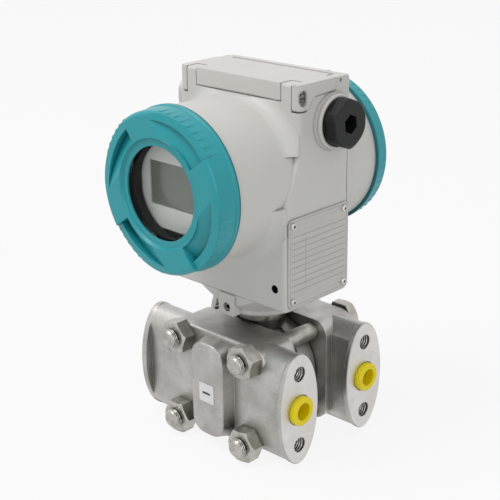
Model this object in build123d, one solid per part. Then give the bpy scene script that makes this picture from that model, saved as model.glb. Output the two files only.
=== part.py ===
from build123d import *
import math
import os

# Differential pressure transmitter, in millimetres.
# The origin lies on the neck's axis, at the height of the process pads' lower ends.
# +X looks to the two process ports, -Y to the display, +Z is up.

# Process flanges. The two ports stand 54 mm apart and each has a pair of
# mounting threads 41.3 mm apart, the standard pattern for such flanges.
PORT_PITCH = 54.0
PAD_THREAD_PITCH = 41.3
PAD_THREAD_MINOR = 8.5
PAD_THREAD_DEPTH = 16.0
PAD_HEIGHT = 63.5
PAD_WIDTH = 29.8
PAD_FACE = 51.7
PAD_RIM = 3.2
VENT_FACE = 56.0
VENT_RIM = 3.6
NECK_SHRINK = 0.45
NECK_EDGE = 4.0
NECK_INSET = 4.4
PLATE_HALF = 36.0
PLATE_HEIGHT = 60.0
PLATE_LIFT = 1.6
PLATE_CORNER = 9.0
PLATE_FACE = 37.0
CELL_HALF = 13.0
PANEL_WIDTH = 23.0
PANEL_HEIGHT = 55.0
PANEL_CORNER = 9.0
PANEL_PROUD = 7.5
PORT_BORE = 13.7
PORT_DEPTH = 18.0
PORT_SEAT = 16.8
PORT_SEAT_DEPTH = 0.8
PASSAGE = 6.0
VENT_LENGTH = 12.0
VENT_SOCKET = 6.0
CHAMBER_RADIUS = 21.0
CHAMBER_DEPTH = 2.5
GASKET_INNER = 23.4
GASKET_WIDTH = 2.6
GASKET_THICK = 2.0

# Clamping bolts through both flanges
BOLT = 10.0
BOLT_PITCH_X = 50.2
BOLT_PITCH_Z = 48.8
BOLT_STUB = 3.9
BOLT_HEAD = 6.4
NUT_FLATS = 17.0
NUT_HEIGHT = 8.4

# Measuring cell and the neck that carries the housing
CELL_RADIUS = 29.0
DIAPHRAGM_RADIUS = 20.6
DIAPHRAGM_THICK = 0.5
DIAPHRAGM_WAVE = 0.5
DIAPHRAGM_WAVES = 4
STEM_RADIUS = 12.6
COLLAR_RADIUS = 13.7
COLLAR_BOTTOM = 64.5
STEM_TOP = 95.0
NECK_BORE = 4.0
RING_OUTER = 15.4
RING_THICK = 2.0
HEADER_RADIUS = 9.5
HEADER_THICK = 2.5
PIN_COUNT = 8
PIN_CIRCLE = 6.4
PIN_RADIUS = 0.5
PIN_LENGTH = 5.0

# Housing: a barrel across a block, cast in one piece
BARREL_RADIUS = 41.0
BARREL_HEIGHT = 150.1
BARREL_FRONT = 59.0
BARREL_BACK = 46.7
BLOCK_HALF = 42.0
BLOCK_FRONT = 27.0
BLOCK_BACK = 22.4
BLOCK_BOTTOM = 83.3
BLOCK_STEP = 10.0
BLOCK_STEP_TOP = 15.0
BLOCK_EDGE = 2.2
BLEND = 8.0
REAR_BLEND = 6.0
BOSS_TOP_RADIUS = 33.5
BOSS_RADIUS = 24.0
BOSS_BOTTOM = 71.5
BOSS_RIM = 3.2
TOWER_BACK = 23.4
TOWER_RISE = 50.3
TOWER_TOP = BARREL_HEIGHT + TOWER_RISE
FRONT_BORE = 36.0
REAR_BORE = 34.0
PARTITION_FRONT = 11.0
PARTITION_BACK = 1.0
CAVITY_RADIUS = 16.4
CAVITY_FLOOR = 91.0
CAVITY_TOP = 103.0
DUCT_RADIUS = 5.5
DUCT_OFFSET = 18.0
SEAL_BELOW_FLOOR = 8.6
NECK_SEAL_HEIGHT = 2.8
NECK_SEAL_WIDTH = 2.2
RUN_CLEARANCE = 0.05
FACE_GAP = 0.3

# Cable entries, one each side, M20 x 1.5
ENTRY_Y = 9.0
ENTRY_RISE = 28.5
ENTRY_Z = BARREL_HEIGHT + ENTRY_RISE
ENTRY_MINOR = 18.4
ENTRY_BOSS = 28.4
ENTRY_FLARE = 33.0
ENTRY_FACE = 46.0
ENTRY_DEPTH = 18.0
WIRE_HOLE = 11.0
WIRE_HOLE_DROP = 3.4
WIRE_HOLE_END = 14.0
PLUG_FLATS = 24.0
PLUG_TURN = 7.0
PLUG_SEAL = 1.7
PLUG_SEAL_RADIUS = 12.6
PLUG_HEAD = 6.3
PLUG_CORNER_CUT = 0.8
STOPPER_HEAD = 11.8
STOPPER_TURN = 0.0
STOPPER_SOCKET = 10.0
PLUG_SHANK = 14.0
PLUG_SOCKET = 9.0
PLUG_SOCKET_DEPTH = 9.0
PLUG_CROWN = 1.3

# Small features of the housing's lower block
LUG_WIDTH = 12.0
LUG_DEPTH = 7.0
LUG_PROUD = 0.8
RETAINER = 5.0
RETAINER_HEIGHT = 76.0
RETAINER_HEX = 2.5
RIB_REACH = 11.6
RIB_THICK = 3.0
RIB_FRAME = 2.0
BLIND_HOLE = 4.5
BLIND_HOLE_DEPTH = 8.0
BLIND_HOLE_X = 34.6
BLIND_HOLE_Z = 95.3
EARTH_Y = -16.0
EARTH_Z = 97.0
EARTH_SCREW = 4.0
EARTH_BOSS = 12.0
EARTH_BOSS_PROUD = 1.2
EARTH_CLAMP = 9.0
EARTH_CLAMP_THICK = 1.6

# Nameplate and its rivets
PLATE_THICK = 0.8
NAMEPLATE_LENGTH = 47.1
NAMEPLATE_HEIGHT = 48.2
NAMEPLATE_Y = -1.8
NAMEPLATE_Z = 109.3
NAMEPLATE_CORNER = 2.5
RIVET_INSET = 3.5
RIVET_HEAD = 3.8
RIVET_SHANK = 1.8
RIVET_DEPTH = 4.0
RIVET_CROWN = 1.1

# Screwed covers. Each has a skirt that turns inside the barrel.
COVER_RADIUS = 42.75
COVER_FACE_RADIUS = 41.6
COVER_RIM = 2.2
COVER_DEPTH = 15.0
COVER_EDGE = 2.8
SKIRT_LENGTH = 12.0
SKIRT_CLEARANCE = 0.15
SKIRT_WALL = 2.9
SEAL_OFFSET = 2.2
SEAL_WIDTH = 2.4
SEAL_DEPTH = 1.9
THREAD_PITCH = 2.0
POCKET_INNER = 29.0
POCKET_OUTER = 37.2
POCKET_START = -16.0
POCKET_END = 54.6
POCKET_DEPTH = 8.0
POCKET_CREASE = 33.3
POCKET_LEAN = 42.3
FACET_SLOPE = 0.15
HOLLOW_SLOPE = 0.5
POCKETS = 4
RIB_COUNT = 9
RIB_PROUD = 0.5
RIB_WIDTH = 2.2
RIB_LENGTH = 10.4
RIB_FIRST = 2.0
RIB_LAST = 52.0
WINDOW_LIP = 24.2
WINDOW_RECESS = 1.6
WINDOW_RECESS_RADIUS = 27.4
WINDOW_LIP_THICK = 1.0
WINDOW_RADIUS = 26.0
WINDOW_SEAT = 26.9
WINDOW_CLEARANCE = 0.15
WINDOW_THICK = 5.0
WINDOW_GASKET = 0.6
RETAINER_RING = 4.4
RETAINER_BORE = 24.8
REAR_FLAT_DEPTH = 8.6
REAR_DEPTH = 15.5
REAR_FACE_RADIUS = 34.5
REAR_WALL = 4.0

# Display and electronics in the front compartment
DISPLAY_GAP = 1.0
BEZEL_RADIUS = 31.0
BEZEL_HALF = 25.8
BEZEL_LOW = 23.0
BEZEL_HIGH = 24.0
BEZEL_THICK = 4.4
LCD_WIDTH = 38.6
LCD_HEIGHT = 23.8
LCD_LIFT = 0.8
LCD_LEDGE = 1.4
LCD_THICK = 2.0
LCD_SETBACK = 1.0
CONNECTOR = 18.0
CONNECTOR_THICK = 1.2
CONNECTOR_WIDTH = 4.0
CONNECTOR_LIFT = 2.0
BOARD_THICK = 1.6
BOARD_RADIUS = 30.0
MODULE_RADIUS = 32.0
MODULE_RECESS = 3.0
MODULE_SCREW_CIRCLE = 27.5
MODULE_SCREW = 3.0
MODULE_SCREW_HEAD = 5.5
MODULE_SCREW_SEAT = 6.0
MODULE_SCREW_REACH = 4.5
MODULE_SCREW_HEAD_THICK = 2.0

# Terminals in the rear compartment
TERMINAL_RADIUS = 30.0
TERMINAL_DEPTH = 15.0
TERMINAL_LOW = 14.0
TERMINAL_TOP = 20.0
TERMINAL_WIDTH = 54.0
TERMINAL_HEIGHT = 40.0
TERMINAL_COUNT = 3
TERMINAL_PITCH = 11.0
TERMINAL_SCREW = 4.0
TERMINAL_HEAD = 7.0
TERMINAL_HEAD_THICK = 2.6
TERMINAL_POCKET = 9.0
TERMINAL_POCKET_DEPTH = 6.0
INNER_EARTH_X = 17.0
INNER_EARTH_Z = -20.0

# Key cover on top, its hinge and the three keys under it
LID_HALF = 42.5
LID_RISE = 0.2
LID_TOP = TOWER_TOP + LID_RISE
LID_FRONT = 16.7
LID_CORNER = 2.6
LID_THICK = 3.0
LID_APRON = 2.4
LID_APRON_HEIGHT = 9.1
LID_APRON_BOTTOM = LID_TOP - LID_APRON_HEIGHT
LID_SIDE = 1.8
LID_GAP = 0.4
TAB_HEIGHT = 13.6
TAB_BOTTOM = LID_TOP - TAB_HEIGHT
TAB_BACK = 11.3
TAB_RAMP_END = 5.0
TAB_RAMP_DROP = 7.2
TAB_RAMP_TOP = LID_TOP - TAB_RAMP_DROP
LID_SIDE_END = 11.2
LID_SIDE_DROP = 6.2
LID_SIDE_TOP = LID_TOP - LID_SIDE_DROP
COLUMN_INNER = 30.3
COLUMN_OUTER = 36.8
COLUMN_DEPTH = 8.0
SLOT_WIDTH = 4.8
SLOT_HEIGHT = 8.2
SLOT_Y = -13.6
SLOT_DROP = 7.0
SLOT_Z = LID_TOP - SLOT_DROP
SLOT_DEPTH = 2.6
LID_SCREW = 3.0
LID_SCREW_HEAD = 4.4
HINGE_Y = 15.0
HINGE_DROP = 2.1
HINGE_Z = LID_TOP - HINGE_DROP
HINGE_PIN = 1.8
HINGE_PIN_LENGTH = 9.0
KNUCKLE_RADIUS = 2.1
KNUCKLE_HALF = 35.6
EAR_RADIUS = 3.4
HINGE_SWEEP = 3.2
KEY_RECESS_HALF = 27.0
KEY_RECESS_FRONT = 11.0
KEY_RECESS_BACK = 8.0
KEY_DROP = 10.4
KEY_FLOOR = TOWER_TOP - KEY_DROP
KEY_PITCH = 17.0
KEY_Y = -4.5
KEY_RADIUS = 4.6
KEY_CAP = 3.4
KEY_TRAVEL = 1.0
KEY_STEM = 3.2
KEY_STEM_LENGTH = 7.0
KEY_PLATE = 0.8

# Caps that close the process ports for transport
CAP_FLANGE = 16.0
CAP_FLANGE_THICK = 4.0
CAP_SIDE_CLEARANCE = 0.25
CAP_BARREL_LENGTH = 10.0
CAP_HOLLOW = 9.5
CAP_HOLLOW_DEPTH = 11.0

# Label on the low side
LABEL = 11.0
LABEL_THICK = 0.3
LABEL_Z = 30.5
MINUS_LENGTH = 5.6
MINUS_WIDTH = 1.1

PORT_Y = PORT_PITCH / 2
PORT_Z = PAD_HEIGHT / 2
PLATE_Z = PORT_Z + PLATE_LIFT
PANEL_FACE = PLATE_FACE + PANEL_PROUD
COVER_FRONT = BARREL_FRONT + COVER_DEPTH
LID_UNDER = LID_TOP - LID_THICK
CORE_TOP = LID_UNDER - LID_GAP
BIG = 400.0


def front_plane(y):
    """A plane seen from the display side: x to the right, z up, normal to -Y."""
    return Plane(origin=(0, y, 0), x_dir=(1, 0, 0), z_dir=(0, -1, 0))


def side_plane(x):
    """A plane seen from the port side: y to the right, z up, normal to +X."""
    return Plane(origin=(x, 0, 0), x_dir=(0, 1, 0), z_dir=(1, 0, 0))


def rod_x(radius, x0, x1, y, z):
    return side_plane(x0) * Pos(y, z) * extrude(Circle(radius), x1 - x0)


def rod_y(radius, y0, y1, x, z):
    """A rod along Y from y0 to y1, with y0 the lower value."""
    return front_plane(y1) * Pos(x, z) * extrude(Circle(radius), y1 - y0)


def rod_z(radius, z0, z1, x=0.0, y=0.0):
    return Pos(x, y, z0) * extrude(Circle(radius), z1 - z0)


def block(x0, x1, y0, y1, z0, z1):
    return Pos((x0 + x1) / 2, (y0 + y1) / 2, (z0 + z1) / 2) * Box(x1 - x0, y1 - y0, z1 - z0)


def turned_y(points):
    """A solid turned about the barrel's axis from (radius, y) points."""
    outline = [(radius, y, BARREL_HEIGHT) for radius, y in points]
    face = make_face(Polyline(*outline, close=True))
    return revolve(face, Axis((0, 0, BARREL_HEIGHT), (0, 1, 0)))


def one_solid(shape):
    """The shape's largest solid, which drops slivers that a cut leaves."""
    return max(shape.solids(), key=lambda solid: solid.volume)


def both_sides(shape):
    return [shape, mirror(shape, about=Plane.YZ)]


def to_rear(shape):
    return mirror(shape, about=Plane.XZ)


def bolt_places():
    return [(sx * BOLT_PITCH_X / 2, PORT_Z + sz * BOLT_PITCH_Z / 2) for sx in (-1, 1) for sz in (-1, 1)]


# Process flanges

def pad_and_neck(face, rim):
    """One oval process pad on the +X side, and the oval neck that carries it."""
    pad = side_plane(face - rim) * Pos(-PORT_Y, PORT_Z) * extrude(
        Ellipse(PAD_WIDTH / 2, PAD_HEIGHT / 2), rim)
    pad = fillet(pad.edges(), 0.7)
    inner = -CELL_HALF - NECK_INSET
    profile = Pos(-PORT_Y, PORT_Z) * Ellipse(PAD_WIDTH / 2 - NECK_SHRINK / 2, PAD_HEIGHT / 2 - NECK_SHRINK)
    profile &= Pos((inner - PLATE_FACE) / 2, PORT_Z) * Rectangle(PLATE_FACE + inner, PAD_HEIGHT)
    profile = fillet(profile.vertices(), NECK_EDGE)
    neck = side_plane(0) * extrude(profile, face - rim / 2)
    return pad + neck


def flange():
    """The low-side flange, cast in one piece, before it is drilled."""
    plate = front_plane(-CELL_HALF) * Pos(0, PLATE_Z) * extrude(
        RectangleRounded(2 * PLATE_HALF, PLATE_HEIGHT, PLATE_CORNER), PLATE_FACE - CELL_HALF)
    plate = fillet(plate.edges().group_by(Axis.Y)[0], 1.6)
    panel = front_plane(-PLATE_FACE + 1.0) * Pos(0, PORT_Z + 0.6) * extrude(
        RectangleRounded(PANEL_WIDTH + 5.0, PANEL_HEIGHT + 4.0, PANEL_CORNER + 2.0),
        PANEL_PROUD + 1.0, taper=16)
    panel = fillet(panel.edges().group_by(Axis.Y)[0], 1.3)
    vent_side = mirror(pad_and_neck(VENT_FACE, VENT_RIM), about=Plane.YZ)
    return plate + panel + pad_and_neck(PAD_FACE, PAD_RIM) + vent_side


def flange_cuts():
    """Ports, passages, mounting threads, bolt holes and the gasket's groove."""
    cuts = []
    cuts.append(rod_x(PORT_BORE / 2, PAD_FACE - PORT_DEPTH, PAD_FACE, -PORT_Y, PORT_Z))
    cuts.append(rod_x(PORT_BORE / 2, -VENT_FACE, PORT_DEPTH - VENT_FACE, -PORT_Y, PORT_Z))
    seat = rod_x(PORT_SEAT / 2, PAD_FACE - PORT_SEAT_DEPTH, PAD_FACE, -PORT_Y, PORT_Z)
    cuts.append(seat)
    for sz in (-1, 1):
        z = PORT_Z + sz * PAD_THREAD_PITCH / 2
        cuts.append(rod_x(PAD_THREAD_MINOR / 2, PAD_FACE - PAD_THREAD_DEPTH, PAD_FACE, -PORT_Y, z))
    cuts.append(rod_x(PASSAGE / 2, PORT_DEPTH - VENT_FACE, PAD_FACE - PORT_DEPTH, -PORT_Y, PORT_Z))
    cuts.append(rod_y(PASSAGE / 2, -PORT_Y, -CELL_HALF, 0, PORT_Z))
    cuts.append(rod_y(CHAMBER_RADIUS, -CELL_HALF - CHAMBER_DEPTH, -CELL_HALF, 0, PORT_Z))
    groove = rod_y(GASKET_INNER + GASKET_WIDTH, -CELL_HALF - GASKET_THICK, -CELL_HALF, 0, PORT_Z)
    groove -= rod_y(GASKET_INNER, -CELL_HALF - GASKET_THICK, -CELL_HALF, 0, PORT_Z)
    cuts.append(groove)
    for x, z in bolt_places():
        cuts.append(rod_y(BOLT / 2 + RUN_CLEARANCE, -PLATE_FACE, -CELL_HALF, x, z))
    return cuts


def drilled_flange():
    return one_solid(flange() - flange_cuts())


def gasket():
    """The seal ring between flange and cell."""
    ring = rod_y(GASKET_INNER + GASKET_WIDTH, -CELL_HALF - GASKET_THICK, -CELL_HALF, 0, PORT_Z)
    return ring - rod_y(GASKET_INNER, -CELL_HALF - GASKET_THICK, -CELL_HALF, 0, PORT_Z)


def vent_screw():
    """A flush plug with a hexagon socket, in the pad away from the ports."""
    body = rod_x(PORT_BORE / 2 - RUN_CLEARANCE, -VENT_FACE, VENT_LENGTH - VENT_FACE, -PORT_Y, PORT_Z)
    socket = side_plane(-VENT_FACE) * Pos(-PORT_Y, PORT_Z) * extrude(hexagon(VENT_SOCKET), VENT_LENGTH / 2)
    return one_solid(chamfer(body.edges(), 0.6) - socket)


def hexagon(flats, turn=0.0):
    return Rot(0, 0, turn) * RegularPolygon(flats / math.sqrt(3), 6)


def crowned_hexagon(flats, height, crown, corner_cut=0.0):
    """A hexagon prism whose corners are turned off at its upper end, and cut back all along if asked."""
    corner = flats / math.sqrt(3)
    slope = math.tan(math.radians(30))
    outer = corner - corner_cut if corner_cut else corner + 1.0
    profile = [(0, 0), (outer, 0), (outer, height - crown - (outer - corner) * slope),
               (corner - crown / slope, height), (0, height)]
    cone = revolve(Plane.XZ * make_face(Polyline(*profile, close=True)), Axis.Z)
    return extrude(hexagon(flats), height) & cone


def bolts():
    """Four hexagon bolts, heads at the rear, ends standing out of the nuts in front."""
    end = -PLATE_FACE - NUT_HEIGHT - BOLT_STUB
    found = []
    for x, z in bolt_places():
        shank = rod_y(BOLT / 2, end, PLATE_FACE + 1.0, x, z)
        shank = chamfer(shank.edges().group_by(Axis.Y)[0], 0.8)
        head = Pos(x, PLATE_FACE, z) * Rot(-90, 0, 0) * crowned_hexagon(NUT_FLATS, BOLT_HEAD, 1.0)
        found.append(one_solid(shank + head))
    return found


def nuts():
    """The four nuts on the front flange, each turned a little differently."""
    found = []
    for turn, (x, z) in zip((2, 12, 6, 18), bolt_places()):
        nut = crowned_hexagon(NUT_FLATS, NUT_HEIGHT, 1.1) - extrude(Circle(BOLT / 2 + RUN_CLEARANCE), NUT_HEIGHT)
        found.append(one_solid(Pos(x, -PLATE_FACE, z) * Rot(90, 0, 0) * Rot(0, 0, turn) * nut))
    return found


def minus_label():
    """A small square label on the low side's panel, with a raised minus sign."""
    label = front_plane(-PANEL_FACE) * Pos(0, LABEL_Z) * extrude(RectangleRounded(LABEL, LABEL, 0.8), LABEL_THICK)
    sign = front_plane(-PANEL_FACE) * Pos(0, LABEL_Z) * extrude(
        Rectangle(MINUS_LENGTH, MINUS_WIDTH), LABEL_THICK + 0.1)
    return label - sign, sign


# Measuring cell and neck

def cell_disc(radius, grow=0.0):
    return rod_y(radius, -CELL_HALF - grow, CELL_HALF + grow, 0, PORT_Z)


def cell_body():
    """The steel disc between the flanges, with a seat on each side for its diaphragm."""
    body = cell_disc(CELL_RADIUS)
    body = fillet(body.edges(), 0.8)
    seat = rod_y(DIAPHRAGM_RADIUS, CELL_HALF - DIAPHRAGM_THICK - DIAPHRAGM_WAVE, CELL_HALF, 0, PORT_Z)
    body -= [seat, to_rear(seat)]
    waist = rod_y(CELL_RADIUS, -2.0, 2.0, 0, PORT_Z) - rod_y(CELL_RADIUS - 1.2, -2.0, 2.0, 0, PORT_Z)
    return one_solid(body - waist)


def diaphragm():
    """A thin disc with round waves, which takes the pressure on the low side."""
    step = DIAPHRAGM_RADIUS / (2 * DIAPHRAGM_WAVES + 1)
    crest = [(i * step, DIAPHRAGM_WAVE * (i % 2) * (i <= 2 * DIAPHRAGM_WAVES))
             for i in range(2 * DIAPHRAGM_WAVES + 2)]
    outer = [(r, -CELL_HALF + lift) for r, lift in crest]
    inner = [(r, y + DIAPHRAGM_THICK) for r, y in reversed(outer)]
    points = [(r, y, PORT_Z) for r, y in outer + inner]
    return revolve(make_face(Polyline(*points, close=True)), Axis((0, 0, PORT_Z), (0, 1, 0)))


def sensor_neck():
    """The turned stem on the cell, with a collar under the housing and a groove for its ring."""
    ring_z = CAVITY_FLOOR + RUN_CLEARANCE
    stem = rod_z(STEM_RADIUS, PORT_Z + CELL_RADIUS * 0.7, STEM_TOP)
    stem += rod_z(COLLAR_RADIUS, COLLAR_BOTTOM, BOSS_BOTTOM - FACE_GAP)
    stem -= cell_disc(CELL_RADIUS, 1.0)
    groove = rod_z(STEM_RADIUS, ring_z, ring_z + RING_THICK) - rod_z(STEM_RADIUS - 1.0, ring_z, ring_z + RING_THICK)
    bore = rod_z(NECK_BORE, PORT_Z, STEM_TOP)
    pocket = rod_z(HEADER_RADIUS, STEM_TOP - HEADER_THICK, STEM_TOP)
    return one_solid(stem - groove - bore - pocket)


def neck_ring():
    """The spring ring that keeps the housing on the neck."""
    ring_z = CAVITY_FLOOR + RUN_CLEARANCE
    ring = rod_z(RING_OUTER, ring_z, ring_z + RING_THICK) - rod_z(STEM_RADIUS - 1.0, ring_z, ring_z + RING_THICK)
    gap = block(0, BIG, -1.5, 1.5, 0, BIG)
    return one_solid(ring - gap)


def sensor_header():
    """The sealed disc at the neck's top, with its ring of pins."""
    disc = rod_z(HEADER_RADIUS, STEM_TOP - HEADER_THICK, STEM_TOP)
    for i in range(PIN_COUNT):
        angle = 2 * math.pi * i / PIN_COUNT
        x = PIN_CIRCLE * math.cos(angle)
        y = PIN_CIRCLE * math.sin(angle)
        disc += rod_z(PIN_RADIUS, STEM_TOP - 1.0, STEM_TOP + PIN_LENGTH, x, y)
    return disc


def neck_seal():
    """The ring that seals the housing's bore on the neck."""
    top = CAVITY_FLOOR - SEAL_BELOW_FLOOR
    return ring_z_solid(STEM_RADIUS + RUN_CLEARANCE, STEM_RADIUS + NECK_SEAL_WIDTH, top - NECK_SEAL_HEIGHT, top)


def ring_z_solid(inner, outer, z0, z1):
    return rod_z(outer, z0, z1) - rod_z(inner, z0, z1)


# Housing

def barrel():
    return rod_y(BARREL_RADIUS, -BARREL_FRONT, BARREL_BACK, 0, BARREL_HEIGHT)


def side_block():
    """The flat-sided block across the barrel, one casting from the neck up to the keys."""
    step = BARREL_HEIGHT - BLOCK_STEP
    outline = [(-BLOCK_FRONT, BLOCK_BOTTOM), (BLOCK_BACK, BLOCK_BOTTOM), (BLOCK_BACK, BARREL_HEIGHT),
               (TOWER_BACK, TOWER_TOP), (-LID_FRONT, TOWER_TOP), (-LID_FRONT, BARREL_HEIGHT + BLOCK_STEP_TOP),
               (-BLOCK_FRONT, step)]
    body = side_plane(-BLOCK_HALF) * extrude(make_face(Polyline(*outline, close=True)), 2 * BLOCK_HALF)
    side_edges = [edge for edge in body.edges()
                  if abs(abs(edge.center().X) - BLOCK_HALF) < 0.01
                  and BLOCK_BOTTOM + 1 < edge.center().Z < TOWER_TOP - 1]
    body = fillet(side_edges, BLOCK_EDGE)
    rear_top = body.edges().group_by(Axis.Z)[-1].filter_by(Axis.X).sort_by(Axis.Y)[-1]
    body = fillet(rear_top, 1.5)
    return chamfer(body.edges().group_by(Axis.Z)[0], 1.0)


def blend_ring(y, sign, radius, low, high):
    """A soft concave blend between the barrel and the block's face at y, kept between two heights."""
    tip = y + sign * radius
    rise = BARREL_HEIGHT + BARREL_RADIUS
    centre = Vector(0, tip, rise + radius)
    middle = centre + Vector(0, -sign * radius * math.sin(math.pi / 4), -radius * math.cos(math.pi / 4))
    root = y - sign * 1.0
    corner = Vector(0, y, rise + radius)
    edges = [Line((0, tip, rise), (0, tip, rise - 1.0)), Line((0, tip, rise - 1.0), (0, root, rise - 1.0)),
             Line((0, root, rise - 1.0), (0, root, rise + radius)), Line((0, root, rise + radius), corner),
             ThreePointArc(corner, middle, (0, tip, rise))]
    ring = revolve(make_face(edges), Axis((0, 0, BARREL_HEIGHT), (0, 1, 0)))
    half = BLOCK_HALF - 0.02
    return ring & block(-half, half, -BARREL_FRONT, BARREL_BACK, low, high)


def blends():
    under = BLOCK_BOTTOM + 1.2
    step = BARREL_HEIGHT - BLOCK_STEP
    apron = LID_APRON_BOTTOM - LID_GAP
    return [blend_ring(-BLOCK_FRONT, -1, BLEND, under, step),
            blend_ring(-LID_FRONT, -1, BLEND, BARREL_HEIGHT + BLOCK_STEP_TOP, apron),
            blend_ring(BLOCK_BACK, 1, REAR_BLEND, under, TOWER_TOP - 2.0)]


def neck_boss():
    """The funnel that brings the block down to the round neck."""
    rim = BOSS_BOTTOM + BOSS_RIM
    profile = [(0, BOSS_BOTTOM), (BOSS_RADIUS - 1.0, BOSS_BOTTOM), (BOSS_RADIUS, BOSS_BOTTOM + 1.0),
               (BOSS_RADIUS, rim), (BOSS_TOP_RADIUS, BLOCK_BOTTOM + 0.8), (0, BLOCK_BOTTOM + 0.8)]
    cone = revolve(Plane.XZ * make_face(Polyline(*profile, close=True)), Axis.Z)
    return cone & block(-BLOCK_HALF, BLOCK_HALF, -BLOCK_FRONT, BLOCK_BACK, BOSS_BOTTOM, BLOCK_BOTTOM + 0.8)


def lug():
    """The lug for the screw that locks the housing on the neck, with a thin stay beside it."""
    top = BLOCK_BOTTOM + 0.5
    body = block(-LUG_WIDTH / 2, LUG_WIDTH / 2, -BLOCK_FRONT - LUG_PROUD, LUG_DEPTH - BLOCK_FRONT, BOSS_BOTTOM, top)
    body = fillet(body.edges().filter_by(Axis.Y), 1.2)
    outline = [(-RIB_REACH, BOSS_BOTTOM + 0.4), (-LUG_WIDTH / 2 + 1.0, RETAINER_HEIGHT - 0.4),
               (-LUG_WIDTH / 2 + 1.0, top), (-RIB_REACH + 2.4, top)]
    inner = [(-RIB_REACH + RIB_FRAME, BOSS_BOTTOM + 1.8), (-LUG_WIDTH / 2 - 0.6, RETAINER_HEIGHT - 1.0 + 0.6),
             (-RIB_REACH + 3.6, top - 4.4)]
    stay = make_face(Polyline(*outline, close=True)) - make_face(Polyline(*inner, close=True))
    stay = front_plane(-BLOCK_FRONT + RIB_THICK) * extrude(stay, RIB_THICK)
    return body + stay


def entry_boss():
    """The round boss of one cable entry, on the +X side."""
    body = rod_x(ENTRY_BOSS / 2, 0, ENTRY_FACE, ENTRY_Y, ENTRY_Z)
    body = chamfer(body.edges().group_by(Axis.X)[-1], 0.8)
    flare = side_plane(BLOCK_HALF - 14.0) * Pos(ENTRY_Y, ENTRY_Z) * extrude(
        Circle(ENTRY_FLARE / 2), 16.0, taper=6)
    return body + flare


def lid_side_profile(gap):
    """The key cover's outline seen from the side, grown by a gap, as (y, z) points."""
    return [(-LID_FRONT - gap, LID_TOP + gap), (-LID_FRONT - gap, TAB_BOTTOM - gap),
            (-TAB_BACK + gap * 0.4, TAB_BOTTOM - gap), (-TAB_RAMP_END + gap * 0.4, TAB_RAMP_TOP - gap),
            (LID_SIDE_END + gap, LID_SIDE_TOP - gap), (LID_SIDE_END + 2 * gap, LID_TOP + gap)]


def lid_room():
    """The space that the key cover takes out of the tower, with its gap all round."""
    face = make_face(Polyline(*lid_side_profile(LID_GAP), close=True))
    room = side_plane(-BIG / 2) * extrude(face, BIG)
    core_side = LID_HALF - LID_SIDE - LID_GAP
    core = block(-core_side, core_side, -LID_FRONT + LID_APRON + LID_GAP, BIG, 0, CORE_TOP)
    corner_y = COLUMN_DEPTH - LID_FRONT
    tab_end = corner_y + 2 * LID_GAP + LID_SIDE
    for part in both_sides(block(COLUMN_OUTER, BIG, -BIG, tab_end, 0, BIG)):
        core -= part
    below_apron = block(-COLUMN_INNER, COLUMN_INNER, -BIG, LID_SIDE_END, 0, LID_APRON_BOTTOM - LID_GAP)
    room -= [core, below_apron]
    room -= both_sides(block(COLUMN_INNER, COLUMN_OUTER, -BIG, corner_y, 0, BIG))
    hinge = rod_x(HINGE_SWEEP, -KNUCKLE_HALF - LID_GAP, KNUCKLE_HALF + LID_GAP, HINGE_Y, HINGE_Z)
    hinge += block(-KNUCKLE_HALF - LID_GAP, KNUCKLE_HALF + LID_GAP, 0, HINGE_Y + HINGE_SWEEP, CORE_TOP, BIG)
    return room + hinge


def ears():
    """Two rounded ears beside the hinge, which hold its pins."""
    ear = side_plane(KNUCKLE_HALF + LID_GAP) * extrude(
        Pos(HINGE_Y, HINGE_Z) * Circle(EAR_RADIUS), BLOCK_HALF - KNUCKLE_HALF - LID_GAP)
    ear += block(KNUCKLE_HALF + LID_GAP, BLOCK_HALF, HINGE_Y, HINGE_Y + 5.0, HINGE_Z - EAR_RADIUS, TOWER_TOP)
    ear += block(KNUCKLE_HALF + LID_GAP, BLOCK_HALF, HINGE_Y - EAR_RADIUS, HINGE_Y, HINGE_Z - 6.0, HINGE_Z)
    ear &= block(0, BLOCK_HALF, 0, TOWER_BACK, 0, TOWER_TOP)
    return both_sides(ear)


def columns():
    """Rounded corner columns that stand beside the key cover's front."""
    top = TOWER_TOP - 0.3
    column = block(COLUMN_INNER, COLUMN_OUTER, -LID_FRONT, COLUMN_DEPTH - LID_FRONT, TAB_BOTTOM - 8.0, top)
    front_top = column.edges().group_by(Axis.Z)[-1].sort_by(Axis.Y)[0]
    return both_sides(fillet(front_top, 3.4))


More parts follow.
